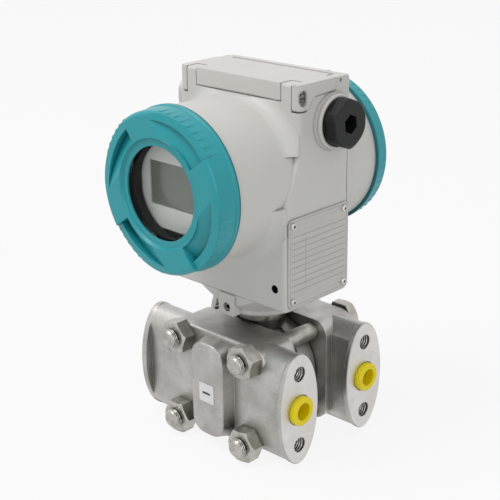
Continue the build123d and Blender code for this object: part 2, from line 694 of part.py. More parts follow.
def housing_cuts():
    """Compartments, bores, threads and the recess for the keys."""
    cuts = [rod_y(FRONT_BORE, -BARREL_FRONT, -PARTITION_FRONT, 0, BARREL_HEIGHT)]
    cuts.append(rod_y(REAR_BORE, PARTITION_BACK, BARREL_BACK, 0, BARREL_HEIGHT))
    cuts.append(rod_z(STEM_RADIUS + RUN_CLEARANCE, BOSS_BOTTOM, CAVITY_FLOOR))
    cuts.append(rod_z(CAVITY_RADIUS, CAVITY_FLOOR, CAVITY_TOP))
    cuts.append(rod_z(DUCT_RADIUS, CAVITY_FLOOR, BARREL_HEIGHT, 0, -DUCT_OFFSET))
    seal_top = CAVITY_FLOOR - SEAL_BELOW_FLOOR
    cuts.append(ring_z_solid(STEM_RADIUS, STEM_RADIUS + NECK_SEAL_WIDTH, seal_top - NECK_SEAL_HEIGHT, seal_top))
    cuts.extend(both_sides(rod_x(ENTRY_MINOR / 2, ENTRY_FACE - ENTRY_DEPTH, ENTRY_FACE, ENTRY_Y, ENTRY_Z)))
    wire_z = ENTRY_Z - WIRE_HOLE_DROP
    cuts.extend(both_sides(rod_x(WIRE_HOLE / 2, WIRE_HOLE_END, ENTRY_FACE - ENTRY_DEPTH + 0.5, ENTRY_Y, wire_z)))
    cuts.append(block(-KEY_RECESS_HALF, KEY_RECESS_HALF, -KEY_RECESS_FRONT, KEY_RECESS_BACK, KEY_FLOOR, BIG))
    for x in key_places():
        cuts.append(rod_z(KEY_STEM / 2 + RUN_CLEARANCE, KEY_FLOOR - KEY_STEM_LENGTH - KEY_TRAVEL, KEY_FLOOR, x, KEY_Y))
    cuts.append(rod_y(RETAINER / 2 + RUN_CLEARANCE, -BLOCK_FRONT - LUG_PROUD, -STEM_RADIUS, 0, RETAINER_HEIGHT))
    cuts.append(rod_y(BLIND_HOLE / 2, -BLOCK_FRONT, -BLOCK_FRONT + BLIND_HOLE_DEPTH, BLIND_HOLE_X, BLIND_HOLE_Z))
    for y, z in rivet_places():
        cuts.append(rod_x(RIVET_SHANK / 2 + RUN_CLEARANCE, BLOCK_HALF - RIVET_DEPTH, BLOCK_HALF, y, z))
    cuts.append(rod_x(EARTH_SCREW / 2 + RUN_CLEARANCE, -BLOCK_HALF - EARTH_BOSS_PROUD, -BLOCK_HALF + 8.0, EARTH_Y, EARTH_Z))
    for x, z in module_screw_places():
        cuts.append(rod_y(MODULE_SCREW / 2 + RUN_CLEARANCE, -PARTITION_FRONT,
                          MODULE_SCREW_REACH + 0.5 - PARTITION_FRONT, x, z))
    for x, z in terminal_fixings():
        cuts.append(rod_y(MODULE_SCREW / 2 + RUN_CLEARANCE, PARTITION_BACK - 5.0, PARTITION_BACK, x, z))
    inner_x, inner_z = inner_earth_place()
    cuts.append(rod_y(EARTH_SCREW / 2 + RUN_CLEARANCE, PARTITION_BACK - 5.0, PARTITION_BACK, inner_x, inner_z))
    pins = rod_x(HINGE_PIN / 2 + RUN_CLEARANCE, BLOCK_HALF - HINGE_PIN_LENGTH, BLOCK_HALF, HINGE_Y, HINGE_Z)
    cuts.extend(both_sides(pins))
    return cuts


def housing():
    """The cast housing: barrel, blocks, bosses and compartments in one solid."""
    body = barrel() + side_block() + neck_boss() + lug() + both_sides(entry_boss()) + blends()
    body += rod_x(EARTH_BOSS / 2, -BLOCK_HALF - EARTH_BOSS_PROUD, -BLOCK_HALF + 4.0, EARTH_Y, EARTH_Z)
    body -= lid_room()
    body += columns() + ears()
    return one_solid(body - housing_cuts())


def retaining_screw():
    """A set screw that locks the housing on the neck. It is shown backed off the stem."""
    tip = -STEM_RADIUS - FACE_GAP
    head = -BLOCK_FRONT - LUG_PROUD + 1.0
    screw = rod_y(RETAINER / 2, head, tip, 0, RETAINER_HEIGHT)
    socket = front_plane(head + 3.0) * Pos(0, RETAINER_HEIGHT) * extrude(hexagon(RETAINER_HEX), 3.0)
    return one_solid(chamfer(screw.edges(), 0.4) - socket)


def earth_clamp():
    """The clamp plate of the outer earth terminal."""
    outer = -BLOCK_HALF - EARTH_BOSS_PROUD
    plate = side_plane(outer - EARTH_CLAMP_THICK) * Pos(EARTH_Y, EARTH_Z) * extrude(
        RectangleRounded(EARTH_CLAMP, EARTH_CLAMP, 1.2), EARTH_CLAMP_THICK)
    hole = rod_x(EARTH_SCREW / 2 + RUN_CLEARANCE, outer - EARTH_CLAMP_THICK, outer, EARTH_Y, EARTH_Z)
    return one_solid(plate - hole)


def earth_screw():
    """The slotted screw of the outer earth terminal."""
    seat = -BLOCK_HALF - EARTH_BOSS_PROUD - EARTH_CLAMP_THICK
    shank = rod_x(EARTH_SCREW / 2, seat - 1.0, -BLOCK_HALF + 7.0, EARTH_Y, EARTH_Z)
    head = rod_x(3.6, seat - 2.8, seat, EARTH_Y, EARTH_Z)
    head = fillet(head.edges().group_by(Axis.X)[0], 0.8)
    slot = block(seat - 4.0, seat - 1.6, EARTH_Y - 5, EARTH_Y + 5, EARTH_Z - 0.5, EARTH_Z + 0.5)
    return one_solid(shank + head - slot)


# Nameplate

def rivet_places():
    dy = NAMEPLATE_LENGTH / 2 - RIVET_INSET
    dz = NAMEPLATE_HEIGHT / 2 - RIVET_INSET
    return [(NAMEPLATE_Y + sy * dy, NAMEPLATE_Z + sz * dz) for sy in (-1, 1) for sz in (-1, 1)]


def nameplate():
    """The blank steel plate on the port side."""
    plate = side_plane(BLOCK_HALF) * Pos(NAMEPLATE_Y, NAMEPLATE_Z) * extrude(
        RectangleRounded(NAMEPLATE_LENGTH, NAMEPLATE_HEIGHT, NAMEPLATE_CORNER), PLATE_THICK)
    holes = [rod_x(RIVET_SHANK / 2 + RUN_CLEARANCE, BLOCK_HALF, BLOCK_HALF + PLATE_THICK, y, z)
             for y, z in rivet_places()]
    return one_solid(plate - holes)


def rivets():
    """Four round-headed drive rivets through the nameplate."""
    seat = BLOCK_HALF + PLATE_THICK
    found = []
    for y, z in rivet_places():
        shank = rod_x(RIVET_SHANK / 2, BLOCK_HALF - RIVET_DEPTH, seat + 0.2, y, z)
        head = rod_x(RIVET_HEAD / 2, seat, seat + RIVET_CROWN, y, z)
        head = fillet(head.edges().group_by(Axis.X)[-1], RIVET_CROWN * 0.8)
        found.append(one_solid(shank + head))
    return found


# Blanking plug in the port-side cable entry

def hex_plug(head_height, socket_width, turn):
    """A hexagon plug for the +X entry: turned-off corners, a socket and a plain shank."""
    seat = ENTRY_FACE + PLUG_SEAL
    head = side_plane(seat) * Pos(ENTRY_Y, ENTRY_Z) * Rot(0, 0, turn + 30) * crowned_hexagon(
        PLUG_FLATS, head_height, PLUG_CROWN, PLUG_CORNER_CUT)
    shank = rod_x(ENTRY_MINOR / 2 - RUN_CLEARANCE, ENTRY_FACE - PLUG_SHANK, seat + 1.0, ENTRY_Y, ENTRY_Z)
    socket = side_plane(seat + head_height - PLUG_SOCKET_DEPTH) * Pos(ENTRY_Y, ENTRY_Z) * extrude(
        hexagon(socket_width, turn + 30), PLUG_SOCKET_DEPTH)
    return one_solid(head + shank - socket)


def blanking_plug():
    """The black plug in the entry on the port side."""
    return hex_plug(PLUG_HEAD, PLUG_SOCKET, PLUG_TURN)


def steel_plug():
    """The taller steel plug in the other entry."""
    return mirror(hex_plug(STOPPER_HEAD, STOPPER_SOCKET, STOPPER_TURN), about=Plane.YZ)


def plug_seal():
    ring = rod_x(PLUG_SEAL_RADIUS, ENTRY_FACE, ENTRY_FACE + PLUG_SEAL, ENTRY_Y, ENTRY_Z)
    hole = rod_x(ENTRY_MINOR / 2, ENTRY_FACE, ENTRY_FACE + PLUG_SEAL, ENTRY_Y, ENTRY_Z)
    return one_solid(ring - hole)


# Covers

def cover_bands(bore, joint, sign):
    """The (radius, y) points that both covers share: skirt, seal groove, rim and outer band."""
    skirt = bore - SKIRT_CLEARANCE
    inner = skirt - SKIRT_WALL
    seal_floor = bore - SEAL_DEPTH - RUN_CLEARANCE
    seal_a = joint - sign * SEAL_OFFSET
    seal_b = joint - sign * (SEAL_OFFSET + SEAL_WIDTH)
    return [(inner, joint - sign * SKIRT_LENGTH), (skirt, joint - sign * SKIRT_LENGTH), (skirt, seal_b),
            (seal_floor, seal_b), (seal_floor, seal_a), (skirt, seal_a), (skirt, joint),
            (COVER_RADIUS, joint), (COVER_RADIUS, joint + sign * COVER_RIM),
            (COVER_RADIUS - 0.6, joint + sign * (COVER_RIM + 0.5))]


def slanted_cut(outer, slope):
    """One plane cut in the cover's face, from a slanted crease down to the pocket's radial end."""
    face = sector(POCKET_INNER, outer, POCKET_START, POCKET_END)
    top = -COVER_FRONT
    column = front_plane(top + POCKET_DEPTH) * Pos(0, BARREL_HEIGHT) * extrude(face, 2 * POCKET_DEPTH)
    lean = math.radians(POCKET_LEAN)
    down = (math.sin(lean), 0, math.cos(lean))
    tilt = math.atan(slope)
    along = (down[0] * math.cos(tilt), math.sin(tilt), down[2] * math.cos(tilt))
    normal = (down[0] * math.sin(tilt), -math.cos(tilt), down[2] * math.sin(tilt))
    start = POCKET_CREASE * math.cos(lean)
    origin = (start * down[0], top, BARREL_HEIGHT + start * down[2])
    half_space = Plane(origin=origin, x_dir=along, z_dir=normal) * extrude(Rectangle(BIG, BIG), BIG)
    return column & half_space


def pocket():
    """One grip pocket: a shallow facet out to the rim and a deeper hollow inside it."""
    return [slanted_cut(COVER_RADIUS + 2.0, FACET_SLOPE), slanted_cut(POCKET_OUTER, HOLLOW_SLOPE)]


def sector(inner, outer, start, end):
    """A ring sector between two clock angles in degrees, seen from the front."""
    def at(radius, clock):
        return (radius * math.sin(math.radians(clock)), radius * math.cos(math.radians(clock)))
    mid = (start + end) / 2
    edges = [Line(at(inner, start), at(outer, start)),
             ThreePointArc(at(outer, start), at(outer, mid), at(outer, end)),
             Line(at(outer, end), at(inner, end)),
             ThreePointArc(at(inner, end), at(inner, mid), at(inner, start))]
    return make_face(edges)


def turned_copy(shape, clock):
    """A copy turned clockwise about the barrel's axis, seen from the front."""
    centre = Pos(0, 0, BARREL_HEIGHT)
    return centre * Rot(0, clock, 0) * centre.inverse() * shape


def grip_rib(joint, sign):
    """One raised rib along the cover's band, at twelve o'clock."""
    start = joint + sign * (COVER_RIM + 0.2)
    end = start + sign * RIB_LENGTH
    rib = block(-RIB_WIDTH / 2, RIB_WIDTH / 2, min(start, end), max(start, end),
                BARREL_HEIGHT + COVER_FACE_RADIUS - 2.0, BARREL_HEIGHT + COVER_FACE_RADIUS + RIB_PROUD)
    return fillet(rib.edges().group_by(Axis.Z)[-1], RIB_PROUD * 0.7)


def rib_angles():
    step = (RIB_LAST - RIB_FIRST) / (RIB_COUNT - 1)
    return [quarter * 360 / POCKETS + RIB_FIRST + i * step for quarter in range(POCKETS) for i in range(RIB_COUNT)]


def front_cover():
    """The window cover: a turned ring with four grip pockets and groups of ribs on its band."""
    joint = -BARREL_FRONT
    points = cover_bands(FRONT_BORE, joint, -1)
    front = -COVER_FRONT
    lip_front = front + WINDOW_RECESS
    lip_back = lip_front + WINDOW_LIP_THICK
    seat = WINDOW_SEAT + WINDOW_CLEARANCE
    seat_end = lip_back + WINDOW_GASKET + WINDOW_THICK + RETAINER_RING
    inner = FRONT_BORE - SKIRT_CLEARANCE - SKIRT_WALL
    points += [(COVER_FACE_RADIUS, front), (POCKET_INNER - 0.6, front), (WINDOW_RECESS_RADIUS, lip_front), (WINDOW_LIP, lip_front),
               (WINDOW_LIP, lip_back), (seat, lip_back), (seat, seat_end), (inner, seat_end)]
    body = turned_y(points)
    rim = [edge for edge in body.edges() if abs(edge.bounding_box().max.Y - front) < 0.01
           and edge.bounding_box().size.X > 2 * COVER_FACE_RADIUS - 0.1]
    body = fillet(rim, COVER_EDGE)
    cuts = [turned_copy(cut, 360 / POCKETS * i) for cut in pocket() for i in range(POCKETS)]
    ribs = [turned_copy(grip_rib(joint, -1), angle) for angle in rib_angles()]
    return one_solid((body + ribs) - cuts)


def rear_cover():
    """The blind cover over the terminals, with the same band and ribs and a flat back."""
    joint = BARREL_BACK
    points = cover_bands(REAR_BORE, joint, 1)
    back = joint + REAR_DEPTH
    inner = REAR_BORE - SKIRT_CLEARANCE - SKIRT_WALL
    points += [(COVER_FACE_RADIUS, joint + REAR_FLAT_DEPTH), (REAR_FACE_RADIUS, back - 0.8),
               (REAR_FACE_RADIUS - 0.8, back), (0, back), (0, back - REAR_WALL), (inner - 2.0, back - REAR_WALL),
               (inner, back - REAR_WALL - 2.0)]
    body = turned_y(points)
    ribs = [turned_copy(grip_rib(joint, 1), angle) for angle in rib_angles()]
    trim = turned_y([(COVER_FACE_RADIUS, joint + REAR_FLAT_DEPTH - 1.0), (60, joint + REAR_FLAT_DEPTH - 1.0),
                     (60, back + 1), (REAR_FACE_RADIUS, back + 1), (REAR_FACE_RADIUS, back - 0.8),
                     (COVER_FACE_RADIUS, joint + REAR_FLAT_DEPTH)])
    cuts = [turned_copy(rear_pocket(), 360 / POCKETS * i) for i in range(POCKETS)]
    return one_solid((body + ribs) - trim - cuts)


def rear_pocket():
    """One shallow grip notch across the rear cover's shoulder."""
    y = BARREL_BACK + REAR_DEPTH
    notch = block(-7.0, 7.0, y - 4.5, y + 2.0, BARREL_HEIGHT + REAR_FACE_RADIUS - 3.5, BARREL_HEIGHT + 60)
    return fillet(notch.edges().filter_by(Axis.Z), 1.5)


def cover_seal(bore, joint, sign):
    """The ring in the skirt's groove, which slides in the barrel's bore."""
    outer = bore - RUN_CLEARANCE
    inner = bore - SEAL_DEPTH
    y_a = joint - sign * (SEAL_OFFSET + RUN_CLEARANCE)
    y_b = joint - sign * (SEAL_OFFSET + SEAL_WIDTH - RUN_CLEARANCE)
    low = min(y_a, y_b)
    high = max(y_a, y_b)
    ring = rod_y(outer, low, high, 0, BARREL_HEIGHT) - rod_y(inner, low, high, 0, BARREL_HEIGHT)
    return one_solid(fillet(ring.edges(), 0.5))


def window_stack():
    """The y levels behind the cover's lip: gasket, glass, retaining ring and their ends."""
    lip_back = -COVER_FRONT + WINDOW_RECESS + WINDOW_LIP_THICK
    glass = lip_back + WINDOW_GASKET
    ring = glass + WINDOW_THICK
    return lip_back, glass, ring, ring + RETAINER_RING


def window_gasket():
    """A black rubber cup in front of the glass and round its edge."""
    lip_back, glass, ring, _ = window_stack()
    cup = rod_y(WINDOW_SEAT, lip_back, ring, 0, BARREL_HEIGHT)
    cup -= rod_y(WINDOW_LIP, lip_back, glass, 0, BARREL_HEIGHT)
    return one_solid(cup - rod_y(WINDOW_RADIUS + RUN_CLEARANCE, glass, ring, 0, BARREL_HEIGHT))


def window_glass():
    _, glass, ring, _ = window_stack()
    return chamfer(rod_y(WINDOW_RADIUS, glass, ring, 0, BARREL_HEIGHT).edges(), 0.3)


def window_retainer():
    """The black ring that holds the glass, with two notches for its key."""
    _, _, ring, end = window_stack()
    body = rod_y(WINDOW_SEAT, ring, end, 0, BARREL_HEIGHT) - rod_y(RETAINER_BORE, ring, end, 0, BARREL_HEIGHT)
    notch = block(-1.5, 1.5, end - 1.6, end + 1, BARREL_HEIGHT + RETAINER_BORE - 2, BARREL_HEIGHT + WINDOW_SEAT + 1)
    return one_solid(body - [notch, turned_copy(notch, 180)])


# Display and electronics

def bezel_front():
    return window_stack()[3] + DISPLAY_GAP


def bezel_outline():
    """The display's outline: a disc with straight sides, foot and head."""
    height = BEZEL_LOW + BEZEL_HIGH
    clip = Pos(0, (BEZEL_HIGH - BEZEL_LOW) / 2) * RectangleRounded(2 * BEZEL_HALF, height, 2.0)
    return Circle(BEZEL_RADIUS) & clip


def display_frame():
    """The pale frame round the display, with a sloping edge at its opening."""
    front = bezel_front()
    body = front_plane(front + BEZEL_THICK) * Pos(0, BARREL_HEIGHT) * extrude(bezel_outline(), BEZEL_THICK)
    body = fillet(body.edges().group_by(Axis.Y)[0], 0.7)
    opening = front_plane(front + BEZEL_THICK) * Pos(0, BARREL_HEIGHT + LCD_LIFT) * extrude(
        Rectangle(LCD_WIDTH - 0.6, LCD_HEIGHT - 0.6), BEZEL_THICK + 1)
    seat = front_plane(front + BEZEL_THICK) * Pos(0, BARREL_HEIGHT + LCD_LIFT) * extrude(
        Rectangle(LCD_WIDTH + 2 * LCD_LEDGE, LCD_HEIGHT + 2 * LCD_LEDGE), BEZEL_THICK - LCD_SETBACK)
    low = BARREL_HEIGHT - BEZEL_LOW + CONNECTOR_LIFT
    room = block(-CONNECTOR / 2 - 0.3, CONNECTOR / 2 + 0.3, front + BEZEL_THICK - CONNECTOR_THICK - 0.3,
                 front + BEZEL_THICK, low - 0.3, low + CONNECTOR_WIDTH + 0.3)
    return one_solid(body - opening - seat - room)


def lcd_panel():
    """The display glass behind the frame's opening."""
    front = bezel_front() + LCD_SETBACK
    return front_plane(front + LCD_THICK) * Pos(0, BARREL_HEIGHT + LCD_LIFT) * extrude(
        Rectangle(LCD_WIDTH + 2 * LCD_LEDGE - 0.2, LCD_HEIGHT + 2 * LCD_LEDGE - 0.2), LCD_THICK)


def display_board():
    """The round circuit board behind the display."""
    start = bezel_front() + BEZEL_THICK
    board = rod_y(BOARD_RADIUS, start, start + BOARD_THICK, 0, BARREL_HEIGHT)
    low = BARREL_HEIGHT - BEZEL_LOW + CONNECTOR_LIFT
    connector = block(-CONNECTOR / 2, CONNECTOR / 2, start - CONNECTOR_THICK, start, low, low + CONNECTOR_WIDTH)
    return board, connector


def module_screw_places():
    return [(sx * MODULE_SCREW_CIRCLE, BARREL_HEIGHT) for sx in (-1, 1)]


def electronics_module():
    """The potted measuring electronics, screwed to the partition."""
    front = bezel_front() + BEZEL_THICK + BOARD_THICK
    back = -PARTITION_FRONT
    body = rod_y(MODULE_RADIUS, front, back, 0, BARREL_HEIGHT)
    body = fillet(body.edges().group_by(Axis.Y)[0], 1.2)
    seat = back - MODULE_SCREW_SEAT
    for x, z in module_screw_places():
        body -= rod_y(MODULE_SCREW_HEAD / 2 + 0.4, front, seat, x, z)
        body -= rod_y(MODULE_SCREW / 2 + RUN_CLEARANCE, seat, back, x, z)
    channel = block(-6, 6, front, back, BARREL_HEIGHT - MODULE_RADIUS - 1, BARREL_HEIGHT - MODULE_RADIUS + 3)
    return one_solid(body - channel)


def module_screws():
    """The two long screws that hold the module."""
    back = -PARTITION_FRONT
    found = []
    for x, z in module_screw_places():
        seat = back - MODULE_SCREW_SEAT
        shank = rod_y(MODULE_SCREW / 2, seat - 0.5, back + MODULE_SCREW_REACH, x, z)
        head = rod_y(MODULE_SCREW_HEAD / 2, seat - MODULE_SCREW_HEAD_THICK, seat, x, z)
        found.append(one_solid(shank + head))
    return found


# Terminals

def terminal_places():
    middle = (TERMINAL_COUNT - 1) / 2
    return [((i - middle) * TERMINAL_PITCH, BARREL_HEIGHT - 4.0) for i in range(TERMINAL_COUNT)]


def terminal_fixings():
    return [(sx * 21.0, BARREL_HEIGHT + 8.0) for sx in (-1, 1)]


def inner_earth_place():
    return (-INNER_EARTH_X, BARREL_HEIGHT + INNER_EARTH_Z)


def terminal_block():
    """The moulded block with a chamber for each wire."""
    face = Circle(TERMINAL_RADIUS) & Pos(0, TERMINAL_HEIGHT / 2 - TERMINAL_LOW) * Rectangle(
        TERMINAL_WIDTH, TERMINAL_HEIGHT)
    back = PARTITION_BACK + TERMINAL_DEPTH
    face -= Pos(0, TERMINAL_TOP + TERMINAL_HEIGHT / 2) * Rectangle(2 * TERMINAL_RADIUS, TERMINAL_HEIGHT)
    body = front_plane(back) * Pos(0, BARREL_HEIGHT) * extrude(face, TERMINAL_DEPTH)
    body = fillet(body.edges().group_by(Axis.Y)[-1], 1.0)
    for x, z in terminal_places():
        low = z - TERMINAL_POCKET / 2
        body -= block(x - TERMINAL_POCKET / 2, x + TERMINAL_POCKET / 2, back - TERMINAL_POCKET_DEPTH, back,
                      BARREL_HEIGHT - 40, low + TERMINAL_POCKET)
        body -= rod_y(TERMINAL_SCREW / 2 + RUN_CLEARANCE, back - TERMINAL_POCKET_DEPTH - 6.0, back, x, z)
    for x, z in terminal_fixings():
        body -= rod_y(MODULE_SCREW_HEAD / 2 + 0.4, PARTITION_BACK + 5.0, back, x, z)
        body -= rod_y(MODULE_SCREW / 2 + RUN_CLEARANCE, PARTITION_BACK, back, x, z)
    return one_solid(body)


def slotted_screw(x, z, seat, shank, head, head_thick, reach):
    """A slotted screw along Y whose head stands on the rear side of its seat."""
    body = rod_y(shank / 2, seat - reach, seat + 0.5, x, z)
    cap = rod_y(head / 2, seat, seat + head_thick, x, z)
    cap = fillet(cap.edges().group_by(Axis.Y)[-1], head_thick * 0.3)
    slot = block(x - head, x + head, seat + head_thick * 0.55, seat + head_thick + 1, z - 0.5, z + 0.5)
    return one_solid(body + cap - slot)


def terminal_screws():
    seat = PARTITION_BACK + TERMINAL_DEPTH - TERMINAL_POCKET_DEPTH
    return [slotted_screw(x, z, seat, TERMINAL_SCREW, TERMINAL_HEAD, TERMINAL_HEAD_THICK, 5.5)
            for x, z in terminal_places()]


def terminal_block_screws():
    seat = PARTITION_BACK + 5.0
    return [slotted_screw(x, z, seat, MODULE_SCREW, MODULE_SCREW_HEAD, 2.0, 9.5) for x, z in terminal_fixings()]


def inner_earth_screw():
    x, z = inner_earth_place()
    return slotted_screw(x, z, PARTITION_BACK, EARTH_SCREW, TERMINAL_HEAD, TERMINAL_HEAD_THICK, 4.5)


# Key cover and keys

def key_lid():
    """The hinged cover over the keys, with a front apron and a slotted tab at each front corner."""
    face = make_face(Polyline(*lid_side_profile(0.0), close=True))
    body = side_plane(-LID_HALF) * extrude(face, 2 * LID_HALF)
    upright = body.edges().filter_by(Axis.Z).group_by(Axis.Y)[0]
    body = fillet(upright, LID_CORNER)
    body = fillet(body.edges().group_by(Axis.Z)[0].filter_by(Axis.X), 1.5)
    corner_y = COLUMN_DEPTH - LID_FRONT
    inner_x = LID_HALF - LID_SIDE
    hollow = block(-inner_x, inner_x, corner_y + LID_GAP + LID_SIDE, BIG, 0, LID_UNDER)
    web = COLUMN_OUTER + LID_GAP
    hollow += block(-web, web, -LID_FRONT + LID_APRON, BIG, 0, LID_UNDER)
    body -= hollow
    body -= block(-COLUMN_INNER, COLUMN_INNER, -BIG, 0, 0, LID_APRON_BOTTOM)
    notch = block(COLUMN_INNER - LID_GAP, COLUMN_OUTER + LID_GAP, -BIG, corner_y + LID_GAP, 0, BIG)
    body -= both_sides(notch)
    body -= both_sides(block(KNUCKLE_HALF, BIG, LID_SIDE_END, BIG, 0, BIG))
    knuckle = rod_x(KNUCKLE_RADIUS, -KNUCKLE_HALF, KNUCKLE_HALF, HINGE_Y, HINGE_Z)
    bridge = block(-KNUCKLE_HALF, KNUCKLE_HALF, LID_SIDE_END - 1.0, HINGE_Y, LID_UNDER, HINGE_Z + KNUCKLE_RADIUS)
    body += [knuckle, bridge]
    slot = side_plane(LID_HALF - SLOT_DEPTH) * Pos(SLOT_Y, SLOT_Z) * extrude(
        SlotOverall(SLOT_HEIGHT, SLOT_WIDTH, rotation=90), SLOT_DEPTH)
    hole = rod_x(LID_SCREW / 2 + RUN_CLEARANCE, COLUMN_OUTER, LID_HALF, SLOT_Y, SLOT_Z)
    body -= both_sides(slot + hole)
    pin = rod_x(HINGE_PIN / 2 + RUN_CLEARANCE, BLOCK_HALF - HINGE_PIN_LENGTH, BLOCK_HALF, HINGE_Y, HINGE_Z)
    return one_solid(body - both_sides(pin))


def lid_screws():
    """The two captive screws in the lid's slots, shown backed out of the housing."""
    seat = LID_HALF - SLOT_DEPTH
    shank = rod_x(LID_SCREW / 2, COLUMN_OUTER + LID_GAP + 0.2, seat + 0.5, SLOT_Y, SLOT_Z)
    head = rod_x(LID_SCREW_HEAD / 2, seat, seat + 1.6, SLOT_Y, SLOT_Z)
    slot = block(seat + 0.9, seat + 3, SLOT_Y - 3, SLOT_Y + 3, SLOT_Z - 0.4, SLOT_Z + 0.4)
    return both_sides(one_solid(shank + head - slot))


def hinge_pins():
    pin = rod_x(HINGE_PIN / 2, BLOCK_HALF - HINGE_PIN_LENGTH, BLOCK_HALF - 0.2, HINGE_Y, HINGE_Z)
    return both_sides(pin)


def key_places():
    return [(i - 1) * KEY_PITCH for i in range(3)]


def key_cap_bottom():
    return KEY_FLOOR + KEY_PLATE + KEY_TRAVEL + FACE_GAP


def key_button(x):
    """One key: a round cap on a stem that runs in the housing."""
    bottom = key_cap_bottom()
    cap = rod_z(KEY_RADIUS, bottom, bottom + KEY_CAP, x, KEY_Y)
    cap = fillet(cap.edges().group_by(Axis.Z)[-1], 0.8)
    stem = rod_z(KEY_STEM / 2, KEY_FLOOR - KEY_STEM_LENGTH + KEY_TRAVEL, bottom + 0.5, x, KEY_Y)
    return one_solid(cap + stem)


def key_plate():
    """The thin plate that lies in the recess round the keys' stems."""
    edge = 0.5
    plate = block(-KEY_RECESS_HALF + edge, KEY_RECESS_HALF - edge, -KEY_RECESS_FRONT + edge,
                  KEY_RECESS_BACK - edge, KEY_FLOOR, KEY_FLOOR + KEY_PLATE)
    plate = fillet(plate.edges().filter_by(Axis.Z), 2.0)
    holes = [rod_z(KEY_STEM / 2 + 0.4, KEY_FLOOR, KEY_FLOOR + KEY_PLATE, x, KEY_Y) for x in key_places()]
    return one_solid(plate - holes)


# Caps in the process ports

def port_cap():
    """The plastic cap in the low side's port: a flanged cup that pulls out."""
    seat = PAD_FACE - PORT_SEAT_DEPTH
    flange_ring = rod_x(CAP_FLANGE / 2, seat, seat + CAP_FLANGE_THICK, -PORT_Y, PORT_Z)
    flange_ring = fillet(flange_ring.edges().group_by(Axis.X)[-1], 1.2)
    barrel_radius = PORT_BORE / 2 - CAP_SIDE_CLEARANCE
    cup = rod_x(barrel_radius, seat - CAP_BARREL_LENGTH, seat + 1.0, -PORT_Y, PORT_Z)
    cup = fillet(cup.edges().group_by(Axis.X)[0], 1.0)
    hollow = rod_x(CAP_HOLLOW / 2, seat + CAP_FLANGE_THICK - CAP_HOLLOW_DEPTH, seat + CAP_FLANGE_THICK,
                   -PORT_Y, PORT_Z)
    body = one_solid(flange_ring + cup - hollow)
    return fillet(body.edges().group_by(Axis.X)[-1], 0.6)


def write(name, shape):
    """Write one node's solids to its own file."""
    solids = shape if isinstance(shape, (list, tuple)) else [shape]
    found = [solid for item in solids for solid in item.solids()]
    export_step(Compound(children=found), f"parts/{name}.step")


def main():
    os.makedirs("parts", exist_ok=True)
    low = drilled_flange()
    write("low_flange", low)
    write("high_flange", to_rear(low))
    write("low_gasket", gasket())
    write("high_gasket", to_rear(gasket()))
    write("low_vent_screw", vent_screw())
    write("high_vent_screw", to_rear(vent_screw()))
    write("flange_bolts", bolts())
    write("flange_nuts", nuts())
    label, sign = minus_label()
    write("minus_label", label)
    write("minus_sign", sign)
    write("cell_body", cell_body())
    write("low_diaphragm", diaphragm())
    write("high_diaphragm", to_rear(diaphragm()))
    write("sensor_neck", sensor_neck())
    write("sensor_header", sensor_header())
    write("neck_ring", neck_ring())
    write("housing", housing())
    write("neck_seal", neck_seal())
    write("retaining_screw", retaining_screw())
    write("earth_clamp", earth_clamp())
    write("earth_screw", earth_screw())
    write("nameplate", nameplate())
    write("nameplate_rivets", rivets())
    write("blanking_plug", blanking_plug())
    write("plug_seal", plug_seal())
    write("steel_plug", steel_plug())
    write("steel_plug_seal", mirror(plug_seal(), about=Plane.YZ))
    write("front_cover", front_cover())
    write("front_cover_seal", cover_seal(FRONT_BORE, -BARREL_FRONT, -1))
    write("window_gasket", window_gasket())
    write("window_glass", window_glass())
    write("window_retainer", window_retainer())
    write("rear_cover", rear_cover())
    write("rear_cover_seal", cover_seal(REAR_BORE, BARREL_BACK, 1))
    write("display_frame", display_frame())
    write("lcd_panel", lcd_panel())
    board, connector = display_board()
    write("display_board", one_solid(board))
    write("display_connector", connector)
    write("electronics_module", electronics_module())
    write("module_screws", module_screws())
    write("terminal_block", terminal_block())
    write("terminal_screws", terminal_screws())
    write("terminal_block_screws", terminal_block_screws())
    write("inner_earth_screw", inner_earth_screw())
    write("key_lid", key_lid())
    write("lid_screws", lid_screws())
    write("hinge_pins", hinge_pins())
    write("key_plate", key_plate())
    for name, x in zip(("mode_key", "down_key", "up_key"), key_places()):
        write(name, key_button(x))
    write("low_port_cap", port_cap())
    write("high_port_cap", to_rear(port_cap()))


main()
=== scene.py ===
# %% [markdown]
# A differential pressure transmitter stands on a pale floor: a cast aluminium housing with two
# blue-green screwed covers on top, and two stainless process flanges, bolted round a measuring
# cell, below. The solids come from the CAD frame, which is in metres with Z up, so nothing here
# has to be fitted. What is left for Blender is how each surface looks, and the fine threads.

from math import cos, pi, radians, sin

import bpy
from mathutils import Matrix, Vector


